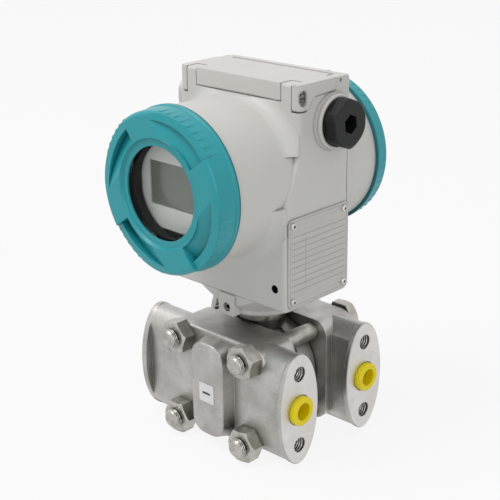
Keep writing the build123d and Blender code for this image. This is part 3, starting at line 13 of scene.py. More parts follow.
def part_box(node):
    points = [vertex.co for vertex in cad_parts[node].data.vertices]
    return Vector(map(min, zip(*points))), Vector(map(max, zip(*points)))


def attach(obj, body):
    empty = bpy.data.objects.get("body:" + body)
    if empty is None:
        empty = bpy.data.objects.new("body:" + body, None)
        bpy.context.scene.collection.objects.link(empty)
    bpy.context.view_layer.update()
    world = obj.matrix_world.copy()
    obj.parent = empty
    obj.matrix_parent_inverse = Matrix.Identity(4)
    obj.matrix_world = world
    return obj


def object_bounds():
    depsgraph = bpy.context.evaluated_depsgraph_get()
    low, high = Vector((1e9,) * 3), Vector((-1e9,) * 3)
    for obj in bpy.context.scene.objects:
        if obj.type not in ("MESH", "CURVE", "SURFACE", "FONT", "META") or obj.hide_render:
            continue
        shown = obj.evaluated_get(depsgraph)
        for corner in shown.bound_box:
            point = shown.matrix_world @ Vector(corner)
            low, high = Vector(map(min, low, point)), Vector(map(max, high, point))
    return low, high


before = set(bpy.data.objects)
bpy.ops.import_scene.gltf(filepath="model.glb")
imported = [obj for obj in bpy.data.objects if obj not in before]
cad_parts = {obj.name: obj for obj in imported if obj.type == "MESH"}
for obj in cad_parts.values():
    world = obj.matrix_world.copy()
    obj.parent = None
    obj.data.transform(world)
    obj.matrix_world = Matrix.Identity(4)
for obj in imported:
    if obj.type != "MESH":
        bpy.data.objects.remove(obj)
cad_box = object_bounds()
mm = 0.001

# %% [markdown]
# The camera looks from the front right and a little from above. A camera is easiest to place by
# the point that it looks at, two angles round that point and a distance. The long lens keeps the
# two flanges nearly parallel, as they are in a product photograph. The small roll is there because
# the picture isn't quite level.

# %% Camera
look_at = Vector((-4.508, -4.343, 101.118)) * mm
distance = 640.714 * mm
azimuth, elevation, roll = radians(43.942), radians(20.167), radians(-0.838)
focal_pixels, picture_pixels, sensor_width = 1170.369, 500, 36.0
towards_camera = Vector((sin(azimuth) * cos(elevation), -cos(azimuth) * cos(elevation), sin(elevation)))
camera_data = bpy.data.cameras.new("camera")
camera_data.sensor_fit = "HORIZONTAL"
camera_data.sensor_width = sensor_width
camera_data.lens = focal_pixels / picture_pixels * sensor_width
camera = bpy.data.objects.new("camera", camera_data)
bpy.context.scene.collection.objects.link(camera)
aim = (-towards_camera).to_track_quat("-Z", "Y").to_matrix().to_4x4()
stand = Matrix.Translation(look_at + towards_camera * distance)
camera.matrix_world = stand @ aim @ Matrix.Rotation(roll, 4, "Z")
bpy.context.scene.camera = camera
print("lens", round(camera_data.lens, 1), "mm")

# %% [markdown]
# Every finish below is a small network of nodes. Written out one node at a time such a network
# fills pages, so short helpers carry the work. The first adds a node and sets or links its inputs,
# the next ones do arithmetic between sockets and numbers, and noise makes the pattern that nearly
# every real surface needs somewhere. Patterns read Object coordinates, which are metres on the part
# itself, so a scale of 1000 gives grains of about a millimetre.

# %% Node helpers
def node(tree, kind, inputs=None, **settings):
    """Adds a node. Each input is a number, a colour or the socket that feeds it."""
    made = tree.nodes.new("ShaderNode" + kind)
    for name, value in settings.items():
        setattr(made, name, value)
    for name, value in (inputs or {}).items():
        socket = made.inputs[name]
        if isinstance(value, bpy.types.NodeSocket):
            tree.links.new(value, socket)
        else:
            socket.default_value = value
    return made


def calc(tree, operation, first, second=0.0, third=0.0, clamp=False):
    """One step of arithmetic, which gives a socket."""
    numbers = {0: first, 1: second, 2: third}
    return node(tree, "Math", numbers, operation=operation, use_clamp=clamp).outputs[0]


def between(tree, value, low, high):
    """1 where value lies between low and high, and 0 elsewhere."""
    above = calc(tree, "GREATER_THAN", value, low)
    return calc(tree, "MULTIPLY", above, calc(tree, "LESS_THAN", value, high))


def folded(tree, value, centre, half):
    """How far value is from the nearer of two lines, which lie half to each side of the centre."""
    from_centre = calc(tree, "ABSOLUTE", calc(tree, "SUBTRACT", value, centre))
    return calc(tree, "SUBTRACT", from_centre, half)


def squared_length(tree, first, second):
    """The square of the distance that two steps at right angles give."""
    return calc(tree, "ADD", calc(tree, "MULTIPLY", first, first), calc(tree, "MULTIPLY", second, second))


def on_part(tree, stretch=(1.0, 1.0, 1.0)):
    """The place on the part in metres, squeezed or stretched along its axes."""
    place = node(tree, "TexCoord").outputs["Object"]
    return node(tree, "Mapping", {"Vector": place, "Scale": stretch}).outputs[0]


def in_mm(tree):
    """The place on the part in millimetres, as three sockets called X, Y and Z."""
    return node(tree, "SeparateXYZ", {"Vector": on_part(tree, (1000.0, 1000.0, 1000.0))}).outputs


def noise(tree, scale, detail=3.0, roughness=0.5, stretch=(1.0, 1.0, 1.0)):
    """A cloudy pattern from 0 to 1."""
    return node(tree, "TexNoise", {"Vector": on_part(tree, stretch), "Scale": scale,
                                   "Detail": detail, "Roughness": roughness}).outputs["Fac"]


def remap(tree, value, low, high, new_low, new_high):
    """Takes low..high to new_low..new_high, and stops there."""
    return node(tree, "MapRange", {"Value": value, "From Min": low, "From Max": high,
                                   "To Min": new_low, "To Max": new_high}).outputs[0]


def mix_colour(tree, amount, first, second):
    """From the first colour to the second as amount goes from 0 to 1."""
    mixer = node(tree, "Mix", data_type="RGBA")
    amount_input, first_input, second_input, colour_output = 0, 6, 7, 2
    for index, value in ((amount_input, amount), (first_input, first), (second_input, second)):
        if isinstance(value, bpy.types.NodeSocket):
            tree.links.new(value, mixer.inputs[index])
        else:
            mixer.inputs[index].default_value = value if isinstance(value, float) else (*value, 1.0)
    return mixer.outputs[colour_output]


def paint_over(tree, skin, colour, where, strength):
    """Lays a colour over the skin where a pattern is 1, no stronger than strength."""
    return mix_colour(tree, calc(tree, "MULTIPLY", where, strength), skin, colour)


print("node helpers are ready")

# %% [markdown]
# A finish starts with the Principled shader. Numbers that are the same all over, such as how
# metallic the surface is, go straight on its sockets. Colour, roughness and relief get a network.
# The Bevel node bends the light along every sharp edge, as if the edge had a small radius, and
# where it bends it most is where a real edge is polished or rubbed. The Ambient Occlusion node
# finds the opposite, the seams and corners, where the finishes paint shade.

# %% Start of a finish
def finish(name, **numbers):
    """A new material, its tree and its shader, with plain numbers set on the shader."""
    material = bpy.data.materials.new(name)
    material.use_nodes = True
    tree = material.node_tree
    shader = tree.nodes["Principled BSDF"]
    for socket, value in numbers.items():
        shader.inputs[socket.replace("_", " ")].default_value = value
    return material, tree, shader


def soft_edges(tree, radius):
    """The normal of the surface with its edges rounded, and how much each place is an edge."""
    rounded = node(tree, "Bevel", {"Radius": radius}, samples=4).outputs[0]
    true = node(tree, "NewGeometry").outputs["Normal"]
    same = node(tree, "VectorMath", {0: rounded, 1: true}, operation="DOT_PRODUCT").outputs["Value"]
    return rounded, remap(tree, same, 0.995, 0.85, 0.0, 1.0)


def grime(tree, reach, samples=6):
    """How much a place is shut in by its neighbours, from 0 in the open to 1 deep in a crease; the finishes
    paint shade by it.
    """
    open_air = node(tree, "AmbientOcclusion", {"Distance": reach}, samples=samples).outputs["AO"]
    return remap(tree, open_air, 0.85, 0.35, 0.0, 1.0)


def dress(tree, shader, colour, rough, height, depth, normal=None):
    """Puts the three networks on the shader: colour, roughness and a relief of a depth in metres."""
    tree.links.new(colour, shader.inputs["Base Color"])
    tree.links.new(rough, shader.inputs["Roughness"])
    bump = node(tree, "Bump", {"Height": height, "Distance": depth, "Strength": 1.0})
    if normal is not None:
        tree.links.new(normal, bump.inputs["Normal"])
    tree.links.new(bump.outputs[0], shader.inputs["Normal"])


print("finish helpers are ready")

# %% [markdown]
# The housing and its covers are powder coated. Powder melts into a skin with a faint orange peel,
# a few tenths of a millimetre from hill to hill, and it thins and shines a little on edges. One
# function makes both colours, because they are the same process with another pigment. Seams and
# corners get painted shade, the joint behind each cover a painted shadow, and the mouths of two
# small holes nearly black painted shade; the joints and holes are found by their places.

# %% Powder coat
def round_holes(tree, place, across, up, front, radius, depth):
    """1 inside two holes, one on each side of the middle, which run in from the front."""
    aside = folded(tree, place["X"], 0.0, across)
    above = calc(tree, "SUBTRACT", place["Z"], up)
    within = calc(tree, "LESS_THAN", squared_length(tree, aside, above), radius ** 2)
    return calc(tree, "MULTIPLY", within, between(tree, place["Y"], front, front + depth))


def powder_coat(name, colour, edge_colour, gloss, seam, round_by=0.6, shadow_lines=(), holes=None):
    material, tree, shader = finish(name, Metallic=0.0, IOR=1.45)
    place = in_mm(tree)
    rounded, edge = soft_edges(tree, round_by * mm)
    drift = remap(tree, noise(tree, 22.0, 4.0), 0.3, 0.7, 0.0, 1.0)
    darker = tuple(channel * 0.95 for channel in colour)
    skin = mix_colour(tree, drift, darker, colour)
    skin = paint_over(tree, skin, edge_colour, edge, 0.35)
    # Painted shade in seams and corners.
    skin = paint_over(tree, skin, seam, grime(tree, 1.6 * mm), 0.75)
    # Painted shadow along the joint behind each cover.
    for low, high in shadow_lines:
        skin = paint_over(tree, skin, seam, between(tree, place["Y"], low, high), 0.8)
    # Nearly black painted shade inside the two holes.
    if holes:
        skin = mix_colour(tree, round_holes(tree, place, **holes), skin, (0.02, 0.02, 0.02))
    peel = noise(tree, 1400.0, 2.0, 0.55)
    waves = noise(tree, 260.0, 2.0, 0.5)
    height = calc(tree, "MULTIPLY_ADD", waves, 0.6, calc(tree, "MULTIPLY", peel, 0.4))
    rough = remap(tree, noise(tree, 500.0, 3.0), 0.3, 0.7, gloss, gloss + 0.09)
    dress(tree, shader, skin, rough, height, 0.05 * mm, rounded)
    return material


skirt_holes = {"across": 34.6, "up": 95.3, "front": -26.9, "radius": 2.35, "depth": 9.0}
front_joint, rear_joint = (-60.0, -59.0), (46.6, 47.4)
housing_coat = powder_coat("housing_coat", (0.62, 0.615, 0.585), (0.72, 0.715, 0.69), 0.40,
                           (0.22, 0.21, 0.19), holes=skirt_holes)
lid_coat = powder_coat("lid_coat", (0.62, 0.61, 0.58), (0.72, 0.71, 0.685), 0.38, (0.20, 0.19, 0.17), 1.3)
cover_coat = powder_coat("cover_coat", (0.016, 0.325, 0.370), (0.08, 0.45, 0.50), 0.30, (0.004, 0.12, 0.15),
                         shadow_lines=(front_joint, rear_joint))
print("powder coats:", housing_coat.name, lid_coat.name, cover_coat.name)

# %% [markdown]
# The flanges are cast in stainless steel, then pickled and blasted. That gives a satin grey with
# soft darker clouds of a few millimetres, a fine grain, and brighter edges where parts have rubbed.
# The oval faces that seal against the pipework are milled flat, so they are lighter.
# The colour of a metal tints what it reflects, so a darker cloud needs a darker base colour.

# %% Cast stainless steel
def cast_steel(name, light, dark, edge_colour, grain, rough_low, rough_high, milled_faces):
    material, tree, shader = finish(name, Metallic=1.0)
    across = in_mm(tree)["X"]
    rounded, edge = soft_edges(tree, 0.5 * mm)
    clouds = remap(tree, noise(tree, 75.0, 6.0, 0.6), 0.36, 0.66, 0.0, 1.0)
    specks = remap(tree, noise(tree, 900.0, 4.0, 0.7), 0.35, 0.75, 0.0, 0.35)
    stain = calc(tree, "ADD", calc(tree, "MULTIPLY", clouds, 0.65), specks, clamp=True)
    skin = mix_colour(tree, stain, light, dark)
    skin = paint_over(tree, skin, edge_colour, edge, 0.5)
    # Painted shade in recesses and in the gaps between the parts.
    skin = paint_over(tree, skin, (0.10, 0.095, 0.08), grime(tree, 9.0 * mm), 0.7)
    on_face = [between(tree, across, face - 0.05, face + 0.05) for face in milled_faces]
    milled = calc(tree, "MAXIMUM", *on_face)
    bright = mix_colour(tree, stain, (0.70, 0.69, 0.665), (0.60, 0.59, 0.565))
    skin = mix_colour(tree, milled, skin, bright)
    rough = remap(tree, stain, 0.0, 1.0, rough_low, rough_high)
    blasted = noise(tree, grain, 5.0, 0.65)
    dress(tree, shader, skin, rough, blasted, 0.06 * mm, rounded)
    return material


vent_face, pad_face = (corner.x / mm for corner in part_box("low_flange"))
flange_steel = cast_steel("flange_steel", (0.53, 0.52, 0.495), (0.37, 0.36, 0.335), (0.72, 0.71, 0.68),
                          1500.0, 0.34, 0.50, (vent_face, pad_face))
print("cast metal:", flange_steel.name)

# %% [markdown]
# Bolts, nuts and the neck are turned or rolled, not cast. Their marks run round or along the part,
# so the noise is squeezed along one axis only. The bolts are darker than the flanges and a little
# brown, as oiled steel is. Seams and corners are painted darker as shade. Along the threads the
# bolt is painted nearly black as the shade between the ridges, and the crests are a lighter copy of
# the steel as a painted highlight. The neck and the small screws are darker copies as painted shade.

# %% Turned metal
def turned_metal(name, light, dark, edge_colour, rough, stretch, dirt=0.8, thread=None):
    material, tree, shader = finish(name, Metallic=1.0)
    rounded, edge = soft_edges(tree, 0.35 * mm)
    marks = noise(tree, 60.0, 6.0, 0.7, stretch)
    tarnish = remap(tree, noise(tree, 240.0, 5.0, 0.6), 0.35, 0.7, 0.0, 1.0)
    skin = mix_colour(tree, tarnish, light, dark)
    skin = paint_over(tree, skin, edge_colour, edge, 0.6)
    # Painted shade in seams and corners.
    skin = paint_over(tree, skin, (0.07, 0.065, 0.055), grime(tree, 3.0 * mm), dirt)
    # Along the threads the bolt is painted nearly black: painted shade between the ridges.
    if thread:
        oiled = between(tree, in_mm(tree)["Y"], *thread)
        skin = paint_over(tree, skin, (0.05, 0.047, 0.04), oiled, 0.85)
    shine = remap(tree, marks, 0.3, 0.7, rough, rough + 0.14)
    dress(tree, shader, skin, shine, marks, 0.03 * mm, rounded)
    return material


stub_end, nut_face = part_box("flange_bolts")[0].y / mm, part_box("flange_nuts")[0].y / mm
stub_chamfer = 0.8
oiled_steel = ((0.52, 0.505, 0.47), (0.34, 0.325, 0.295), (0.78, 0.76, 0.72), 0.26, (8.0, 1.0, 8.0))
bolt_steel = turned_metal("bolt_steel", *oiled_steel)
stud_steel = turned_metal("stud_steel", *oiled_steel, thread=(stub_end + stub_chamfer, nut_face))
# The crests are a lighter copy of the bolt steel: painted highlight.
crest_steel = turned_metal("crest_steel", (0.74, 0.72, 0.68), (0.52, 0.50, 0.47), (0.85, 0.83, 0.80),
                           0.2, (8.0, 1.0, 8.0), dirt=0.2)
# A darker copy of steel: painted shade and reflection of the dark gap between the flanges.
neck_steel = turned_metal("neck_steel", (0.34, 0.325, 0.30), (0.22, 0.21, 0.19), (0.66, 0.63, 0.59),
                          0.24, (1.0, 1.0, 14.0))
# A darker copy of steel: painted shade, as these sit in the slots and recesses of the lid.
screw_steel = turned_metal("screw_steel", (0.30, 0.29, 0.27), (0.16, 0.155, 0.14), (0.55, 0.53, 0.50),
                           0.32, (1.0, 8.0, 8.0))
plug_steel = turned_metal("plug_steel", (0.62, 0.60, 0.57), (0.50, 0.48, 0.46), (0.78, 0.76, 0.73),
                          0.28, (14.0, 1.0, 1.0))
brass = turned_metal("brass", (0.60, 0.50, 0.30), (0.45, 0.36, 0.20), (0.74, 0.64, 0.42),
                     0.28, (1.0, 8.0, 1.0))
print("turned metals: nuts, studs, crests, neck, screws, plug, brass")

# %% [markdown]
# The data plate is brushed steel with a frame and ruled rows etched into it. The rows are left
# blank, like a plate that is still to be stamped. Each line is a simple question to the place on
# the plate, such as "is the height close to that of a row", so no picture is needed. The
# brushing is noise drawn out along the plate.

# %% Data plate
row_pitch, row_share = 3.3, 0.06
column_place, column_width = 13.0, 0.3
frame_inset, frame_width = 1.2, 0.25
side_margin, foot_margin, head_margin = 2.6, 7.6, 9.0


def frame_lines(tree, value, low, high):
    """1 on the two lines of the frame that cross this direction."""
    near_low = between(tree, value, low + frame_inset, low + frame_inset + frame_width)
    near_high = between(tree, value, high - frame_inset - frame_width, high - frame_inset)
    return calc(tree, "MAXIMUM", near_low, near_high)


def ruled_lines(tree, y, z, y_low, y_high, z_low, z_high):
    """1 on the rows and on the column line, inside the margins."""
    inside = calc(tree, "MULTIPLY", between(tree, y, y_low + side_margin, y_high - side_margin),
                  between(tree, z, z_low + foot_margin, z_high - head_margin))
    row = folded(tree, calc(tree, "FRACT", calc(tree, "DIVIDE", z, row_pitch)), 0.5, 0.0)
    rows = calc(tree, "MULTIPLY", calc(tree, "LESS_THAN", row, row_share), inside)
    line = between(tree, y, y_low + column_place, y_low + column_place + column_width)
    return calc(tree, "MAXIMUM", rows, calc(tree, "MULTIPLY", line, inside))


def data_plate(name, y_low, y_high, z_low, z_high):
    material, tree, shader = finish(name, Metallic=1.0)
    rounded, edge = soft_edges(tree, 0.2 * mm)
    y, z = in_mm(tree)["Y"], in_mm(tree)["Z"]
    brushing = noise(tree, 30.0, 5.0, 0.6, (1.0, 1.0, 60.0))
    ruled = ruled_lines(tree, y, z, y_low, y_high, z_low, z_high)
    border = calc(tree, "MAXIMUM", frame_lines(tree, y, y_low, y_high), frame_lines(tree, z, z_low, z_high))
    etched = calc(tree, "MAXIMUM", ruled, border)
    bright = remap(tree, brushing, 0.3, 0.7, 0.0, 1.0)
    steel = mix_colour(tree, bright, (0.42, 0.415, 0.40), (0.50, 0.495, 0.475))
    skin = paint_over(tree, steel, (0.20, 0.195, 0.18), etched, 0.5)
    skin = paint_over(tree, skin, (0.75, 0.74, 0.72), edge, 0.5)
    brushed = remap(tree, brushing, 0.3, 0.7, 0.36, 0.48)
    rough = calc(tree, "ADD", brushed, calc(tree, "MULTIPLY", etched, 0.15))
    height = calc(tree, "SUBTRACT", calc(tree, "MULTIPLY", brushing, 0.3), etched)
    dress(tree, shader, skin, rough, height, 0.03 * mm, rounded)
    return material


plate_low, plate_high = (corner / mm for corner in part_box("nameplate"))
plate_steel = data_plate("plate_steel", plate_low.y, plate_high.y, plate_low.z, plate_high.z)
print("data plate", [round(v, 1) for v in (plate_high - plate_low)], "mm")

# %% [markdown]
# The four rivets of the plate are hollow: bright rims round a dark mouth. The mouth is painted
# shade where the hollow would be deep, drawn by how far a place is from the nearest rivet's axis.
# Folding the plate over its two middle lines makes the four rivets one, so one distance is enough.

# %% Rivets of the data plate
rivet_inset, mouth_radius, mouth_blur = 3.5, 0.7, 0.15


def rivet_metal(name, centre_y, centre_z, half_y, half_z):
    material, tree, shader = finish(name, Metallic=1.0)
    rounded = soft_edges(tree, 0.3 * mm)[0]
    place = in_mm(tree)
    away_y = folded(tree, place["Y"], centre_y, half_y)
    away_z = folded(tree, place["Z"], centre_z, half_z)
    away = calc(tree, "SQRT", squared_length(tree, away_y, away_z))
    mouth = remap(tree, away, mouth_radius + mouth_blur, mouth_radius, 0.0, 1.0)
    tarnish = remap(tree, noise(tree, 700.0, 4.0), 0.35, 0.7, 0.0, 1.0)
    skin = mix_colour(tree, tarnish, (0.66, 0.65, 0.62), (0.48, 0.47, 0.44))
    # Painted shade in the mouth of each hollow rivet.
    skin = paint_over(tree, skin, (0.03, 0.03, 0.028), mouth, 0.92)
    height = calc(tree, "SUBTRACT", calc(tree, "MULTIPLY", tarnish, 0.1), mouth)
    dress(tree, shader, skin, remap(tree, tarnish, 0.0, 1.0, 0.22, 0.34), height, 0.15 * mm, rounded)
    return material


plate_middle, plate_half = (plate_low + plate_high) / 2, (plate_high - plate_low) / 2
rivet_steel = rivet_metal("rivet_steel", plate_middle.y, plate_middle.z,
                          plate_half.y - rivet_inset, plate_half.z - rivet_inset)
print("rivets:", rivet_steel.name)

# %% [markdown]
# Moulded plastics and rubber differ in colour, gloss and the grain of the mould. The caps over the
# ports are soft and bright, so light enters them a little way, which Subsurface gives. The black
# plug has a fine spark-eroded grain that keeps its highlights broad.

# %% Moulded plastic and rubber
def moulded(name, colour, rough, grain, depth, fleck=0.06, **numbers):
    material, tree, shader = finish(name, Metallic=0.0, **numbers)
    rounded, edge = soft_edges(tree, 0.4 * mm)
    drift = remap(tree, noise(tree, 90.0, 4.0), 0.3, 0.7, 0.0, 1.0)
    skin = mix_colour(tree, drift, tuple(channel * (1.0 - fleck) for channel in colour), colour)
    lighter = tuple(min(1.0, channel * 1.12 + 0.012) for channel in colour)
    skin = paint_over(tree, skin, lighter, edge, 0.5)
    texture = noise(tree, grain, 3.0, 0.6)
    shine = remap(tree, texture, 0.3, 0.7, rough - 0.05, rough + 0.07)
    dress(tree, shader, skin, shine, texture, depth * mm, rounded)
    return material


black_plastic = moulded("black_plastic", (0.009, 0.0095, 0.010), 0.46, 1800.0, 0.05, 0.2, IOR=1.35)
black_rubber = moulded("black_rubber", (0.006, 0.006, 0.006), 0.68, 900.0, 0.05, 0.2, IOR=1.3)
frame_plastic = moulded("frame_plastic", (0.66, 0.67, 0.655), 0.45, 2200.0, 0.02)
key_plastic = moulded("key_plastic", (0.22, 0.23, 0.24), 0.5, 1500.0, 0.03)
cap_plastic = moulded("cap_plastic", (0.88, 0.72, 0.002), 0.33, 500.0, 0.03, 0.05,
                      IOR=1.4, Subsurface_Weight=0.1, Subsurface_Scale=0.001)
label_film = moulded("label_film", (0.80, 0.80, 0.79), 0.35, 1200.0, 0.01, 0.03)
label_ink = moulded("label_ink", (0.02, 0.02, 0.02), 0.5, 1200.0, 0.01, 0.1)
print("plastics and rubber: 7")

# %% [markdown]
# The display is off, so it is an even grey-green behind its own polished filter. Seen close, the
# cells of the glass still draw a faint grid. The circuit board is only seen at the edge of the
# window, where it is almost black, with paler copper runs under the lacquer.

# %% Display and circuit board
cell_pitch, cell_line_share = 0.9, 0.12


def cell_lines(tree, value):
    """1 on the thin lines between the cells."""
    along_cell = calc(tree, "FRACT", calc(tree, "DIVIDE", value, cell_pitch))
    return calc(tree, "LESS_THAN", along_cell, cell_line_share)


def display_glass(name):
    material, tree, shader = finish(name, Metallic=0.0, Coat_Weight=0.6, Coat_Roughness=0.08)
    place = in_mm(tree)
    grid = calc(tree, "MAXIMUM", cell_lines(tree, place["X"]), cell_lines(tree, place["Z"]))
    cloud = remap(tree, noise(tree, 60.0, 3.0), 0.3, 0.7, 0.0, 1.0)
    cells = mix_colour(tree, cloud, (0.128, 0.138, 0.115), (0.150, 0.160, 0.135))
    skin = paint_over(tree, cells, (0.11, 0.12, 0.10), grid, 0.25)
    dress(tree, shader, skin, remap(tree, cloud, 0.0, 1.0, 0.28, 0.36), grid, 0.01 * mm)
    return material


def circuit_board(name):
    material, tree, shader = finish(name, Metallic=0.0, Coat_Weight=0.4, Coat_Roughness=0.2)
    cells = node(tree, "TexVoronoi", {"Vector": on_part(tree, (1.0, 1.0, 1.0)), "Scale": 220.0},
                 feature="DISTANCE_TO_EDGE").outputs["Distance"]
    runs = calc(tree, "LESS_THAN", cells, 0.07)
    skin = mix_colour(tree, runs, (0.010, 0.022, 0.016), (0.022, 0.045, 0.03))
    dress(tree, shader, skin, remap(tree, noise(tree, 400.0), 0.3, 0.7, 0.3, 0.42), runs, 0.02 * mm)
    return material


display_face = display_glass("display_face")
dark_board = circuit_board("dark_board")
print("display and board:", display_face.name, dark_board.name)

# %% [markdown]
# The window is a thick flat pane. A Principled shader with full transmission bends and reflects
# light as glass does. Its roughness stays at almost nothing, with a breath of smear so that it
# isn't perfect. A coated pane reflects less than bare glass, so the index of refraction is low.

# %% Window glass
def window_pane(name):
    material, tree, shader = finish(name, Metallic=0.0, IOR=1.15, Transmission_Weight=1.0)
    smear = remap(tree, noise(tree, 45.0, 4.0, 0.6), 0.45, 0.75, 0.0, 0.03)
    smeared = remap(tree, smear, 0.0, 0.03, 0.0, 1.0)
    tint = mix_colour(tree, smeared, (0.97, 0.985, 0.975), (0.94, 0.96, 0.95))
    dress(tree, shader, tint, smear, noise(tree, 20.0, 1.0), 0.001 * mm)
    return material


pane = window_pane("pane")
print("window:", pane.name)

# %% [markdown]
# Now each finish goes on the CAD parts that have it. The meshes stay as they are: only what is in
# their material slots changes.

# %% Put the finishes on the parts
worn_by = {
    housing_coat: ["housing"],
    lid_coat: ["key_lid"],
    cover_coat: ["front_cover", "rear_cover"],
    flange_steel: ["low_flange", "high_flange", "cell_body"],
    bolt_steel: ["flange_nuts"],
    stud_steel: ["flange_bolts"],
    neck_steel: ["sensor_neck", "neck_ring", "sensor_header"],
    plug_steel: ["steel_plug", "low_vent_screw", "high_vent_screw", "earth_screw", "earth_clamp",
                 "module_screws", "low_diaphragm", "high_diaphragm"],
    screw_steel: ["retaining_screw", "lid_screws", "hinge_pins"],
    rivet_steel: ["nameplate_rivets"],
    plate_steel: ["nameplate"],
    brass: ["terminal_screws", "terminal_block_screws", "inner_earth_screw"],
    black_plastic: ["blanking_plug", "electronics_module", "terminal_block", "display_connector"],
    black_rubber: ["neck_seal", "plug_seal", "steel_plug_seal", "front_cover_seal", "rear_cover_seal",
                   "low_gasket", "high_gasket", "window_gasket", "window_retainer"],
    frame_plastic: ["display_frame"],
    key_plastic: ["mode_key", "down_key", "up_key", "key_plate"],
    cap_plastic: ["low_port_cap", "high_port_cap"],
    label_film: ["minus_label"],
    label_ink: ["minus_sign"],
    display_face: ["lcd_panel"],
    dark_board: ["display_board"],
    pane: ["window_glass"],
}
dressed = set()
for material, parts in worn_by.items():
    for part in parts:
        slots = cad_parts[part].data.materials
        slots.clear()
        slots.append(material)
        dressed.add(part)
print("dressed", len(dressed), "parts, left:", sorted(set(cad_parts) - dressed))

# %% [markdown]
# Screw threads repeat one turn many times, which is what Geometry Nodes are for. The tree takes a
# mesh whose points are the centres of the threads, winds a spiral with the wanted pitch at each
# one, and sweeps a small four-sided ridge along it. The same tree serves outside on the bolts and
# inside in the holes of the process pads. Two other ways are a Screw modifier for
# each bolt, which is more objects to keep, and a bump pattern, which would leave the outline plain.

# %% Thread tree
def thread_tree(name):
    """Winds a ridge round the Z axis at each point, then turns it to lie along the part's axis."""
    tree = bpy.data.node_groups.new(name, "GeometryNodeTree")
    face = tree.interface
    face.new_socket("Centres", in_out="INPUT", socket_type="NodeSocketGeometry")
    for label, kind in (("Radius", "Float"), ("Length", "Float"), ("Pitch", "Float"), ("Ridge", "Float"),
                        ("Turn", "Vector"), ("Finish", "Material")):
        face.new_socket(label, in_out="INPUT", socket_type="NodeSocket" + kind)
    face.new_socket("Threads", in_out="OUTPUT", socket_type="NodeSocketGeometry")

    def step(kind, inputs=None, **settings):
        made = tree.nodes.new(kind)
        for key, value in settings.items():
            setattr(made, key, value)
        for key, value in (inputs or {}).items():
            if isinstance(value, bpy.types.NodeSocket):
                tree.links.new(value, made.inputs[key])
            else:
                made.inputs[key].default_value = value
        return made

    given = step("NodeGroupInput").outputs
    turns = step("ShaderNodeMath", {0: given["Length"], 1: given["Pitch"]}, operation="DIVIDE").outputs[0]
    helix = step("GeometryNodeCurveSpiral", {
        "Resolution": 32, "Rotations": turns, "Start Radius": given["Radius"],
        "End Radius": given["Radius"], "Height": given["Length"]}).outputs[0]
    ridge = step("GeometryNodeCurvePrimitiveCircle", {
        "Resolution": 4, "Radius": given["Ridge"]}).outputs["Curve"]
    swept = step("GeometryNodeCurveToMesh", {
        "Curve": helix, "Profile Curve": ridge, "Fill Caps": True}).outputs[0]
    copies = step("GeometryNodeInstanceOnPoints", {
        "Points": given["Centres"], "Instance": swept}).outputs[0]
    turned = step("GeometryNodeRotateInstances", {
        "Instances": copies, "Rotation": given["Turn"]}).outputs[0]
    plain = step("GeometryNodeRealizeInstances", {"Geometry": turned}).outputs[0]
    coloured = step("GeometryNodeSetMaterial", {
        "Geometry": plain, "Material": given["Finish"]}).outputs[0]
    step("NodeGroupOutput", {"Threads": coloured})
    return tree


threads = thread_tree("threads")
print("thread tree:", len(threads.nodes), "nodes")

# %% [markdown]
# A modifier runs the tree. Its inputs are set by each socket's identifier before anything looks at
# the result, and the evaluated object is then copied to a plain mesh, so that the finished piece
# carries no modifier.

# %% Wind the threads
def wind(name, centres, body, slot, **inputs):
    """One mesh with a thread at each centre, riding on a CAD body."""
    mesh = bpy.data.meshes.new(name + "_centres")
    mesh.from_pydata([Vector(centre) * mm for centre in centres], [], [])
    maker = bpy.data.objects.new(name + "_maker", mesh)
    bpy.context.scene.collection.objects.link(maker)
    modifier = maker.modifiers.new("threads", "NODES")
    modifier.node_group = threads
    for item in threads.interface.items_tree:
        if item.item_type == "SOCKET" and item.in_out == "INPUT" and item.name in inputs:
            modifier[item.identifier] = inputs[item.name]
    bpy.context.view_layer.update()
    evaluated = maker.evaluated_get(bpy.context.evaluated_depsgraph_get())
    plain = bpy.data.meshes.new_from_object(evaluated)
    bpy.data.objects.remove(maker)
    piece = bpy.data.objects.new(name, plain)
    bpy.context.scene.collection.objects.link(piece)
    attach(piece, body)
    print(name, len(plain.polygons), "faces")
    return piece


bolt_x, bolt_z = (-25.1, 25.1), (7.35, 56.15)
hole_y, hole_z = (-27.0, 27.0), (11.1, 52.4)
bare_tip, hole_entry = 0.7, 1.0
wind("bolt_threads", [(x, nut_face, z) for x in bolt_x for z in bolt_z], "process_body", "zinc_steel",
     Radius=4.95 * mm, Length=(nut_face - stub_end - bare_tip) * mm, Pitch=1.05 * mm, Ridge=0.34 * mm,
     Turn=(pi / 2, 0.0, 0.0), Finish=crest_steel)
wind("pad_hole_threads", [(pad_face - hole_entry, y, z) for y in hole_y for z in hole_z],
     "process_body", "stainless", Radius=4.2 * mm, Length=11.0 * mm, Pitch=1.4 * mm, Ridge=0.42 * mm,
     Turn=(0.0, -pi / 2, 0.0), Finish=crest_steel)

# %% [markdown]
# The floor is pale and almost shadowless, as on a light table. To the camera it is mostly plain
# white, and one part in eight shows the real light and shadow on it, so the object stands on
# something without a grey patch round it.

# %% Floor
def seen_plainly(tree):
    """1 for rays from the camera, off a glossy surface or through glass, and 0 for all others."""
    rays = node(tree, "LightPath").outputs
    bent = calc(tree, "MAXIMUM", rays["Is Glossy Ray"], rays["Is Transmission Ray"])
    return calc(tree, "MAXIMUM", rays["Is Camera Ray"], bent)


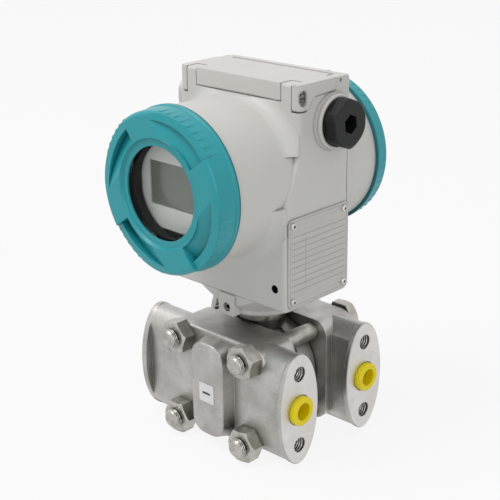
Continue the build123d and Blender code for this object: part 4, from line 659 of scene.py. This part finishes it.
def light_table(name):
    material, tree, shader = finish(name, Roughness=0.8)
    shader.inputs["Base Color"].default_value = (0.66, 0.66, 0.66, 1.0)
    white = node(tree, "Emission", {"Color": (1.0, 1.0, 1.0, 1.0), "Strength": 1.0}).outputs[0]
    blend = node(tree, "MixShader", {0: calc(tree, "MULTIPLY", seen_plainly(tree), 0.88)})
    tree.links.new(shader.outputs[0], blend.inputs[1])
    tree.links.new(white, blend.inputs[2])
    tree.links.new(blend.outputs[0], tree.nodes["Material Output"].inputs["Surface"])
    return material


floor_mesh = bpy.data.meshes.new("floor")
side, floor_gap = 5.0, 0.2 * mm
floor_z = cad_box[0][2] - floor_gap
corners = [(-side, -side, floor_z), (side, -side, floor_z), (side, side, floor_z), (-side, side, floor_z)]
floor_mesh.from_pydata(corners, [], [(0, 1, 2, 3)])
floor_mesh.materials.append(light_table("light_table"))
floor = bpy.data.objects.new("floor", floor_mesh)
bpy.context.scene.collection.objects.link(floor)
print("floor at", round(floor_z / mm, 2), "mm")

# %% [markdown]
# The light is a white tent: an even world, a large soft key from the upper left, and a weaker one
# from the right. The camera, mirror-like surfaces and glass see plain white, so the metal looks
# bright without more light on the paint.

# %% World and lamps
world = bpy.data.worlds.new("tent")
bpy.context.scene.world = world
world.use_nodes = True
tent = world.node_tree
tent.nodes.clear()
soft = node(tent, "Background", {"Color": (1.0, 1.0, 1.0, 1.0), "Strength": 0.55}).outputs[0]
white = node(tent, "Background", {"Color": (1.0, 1.0, 1.0, 1.0), "Strength": 1.0}).outputs[0]
both = node(tent, "MixShader", {0: seen_plainly(tent)})
tent.links.new(soft, both.inputs[1])
tent.links.new(white, both.inputs[2])
sky = node(tent, "OutputWorld")
tent.links.new(both.outputs[0], sky.inputs["Surface"])


def softbox(name, place, size, watts):
    lamp = bpy.data.lights.new(name, "AREA")
    lamp.shape, lamp.size, lamp.energy = "SQUARE", size, watts
    box = bpy.data.objects.new(name, lamp)
    bpy.context.scene.collection.objects.link(box)
    place = Vector(place)
    facing = (look_at - place).to_track_quat("-Z", "Y").to_matrix().to_4x4()
    box.matrix_world = Matrix.Translation(place) @ facing
    return box


softbox("key", (-0.5, -0.8, 1.7), 0.9, 17.0)
softbox("right", (1.6, -0.5, 0.7), 0.9, 5.0)
bpy.context.scene.view_settings.view_transform = "Standard"
print("lamps: 2")
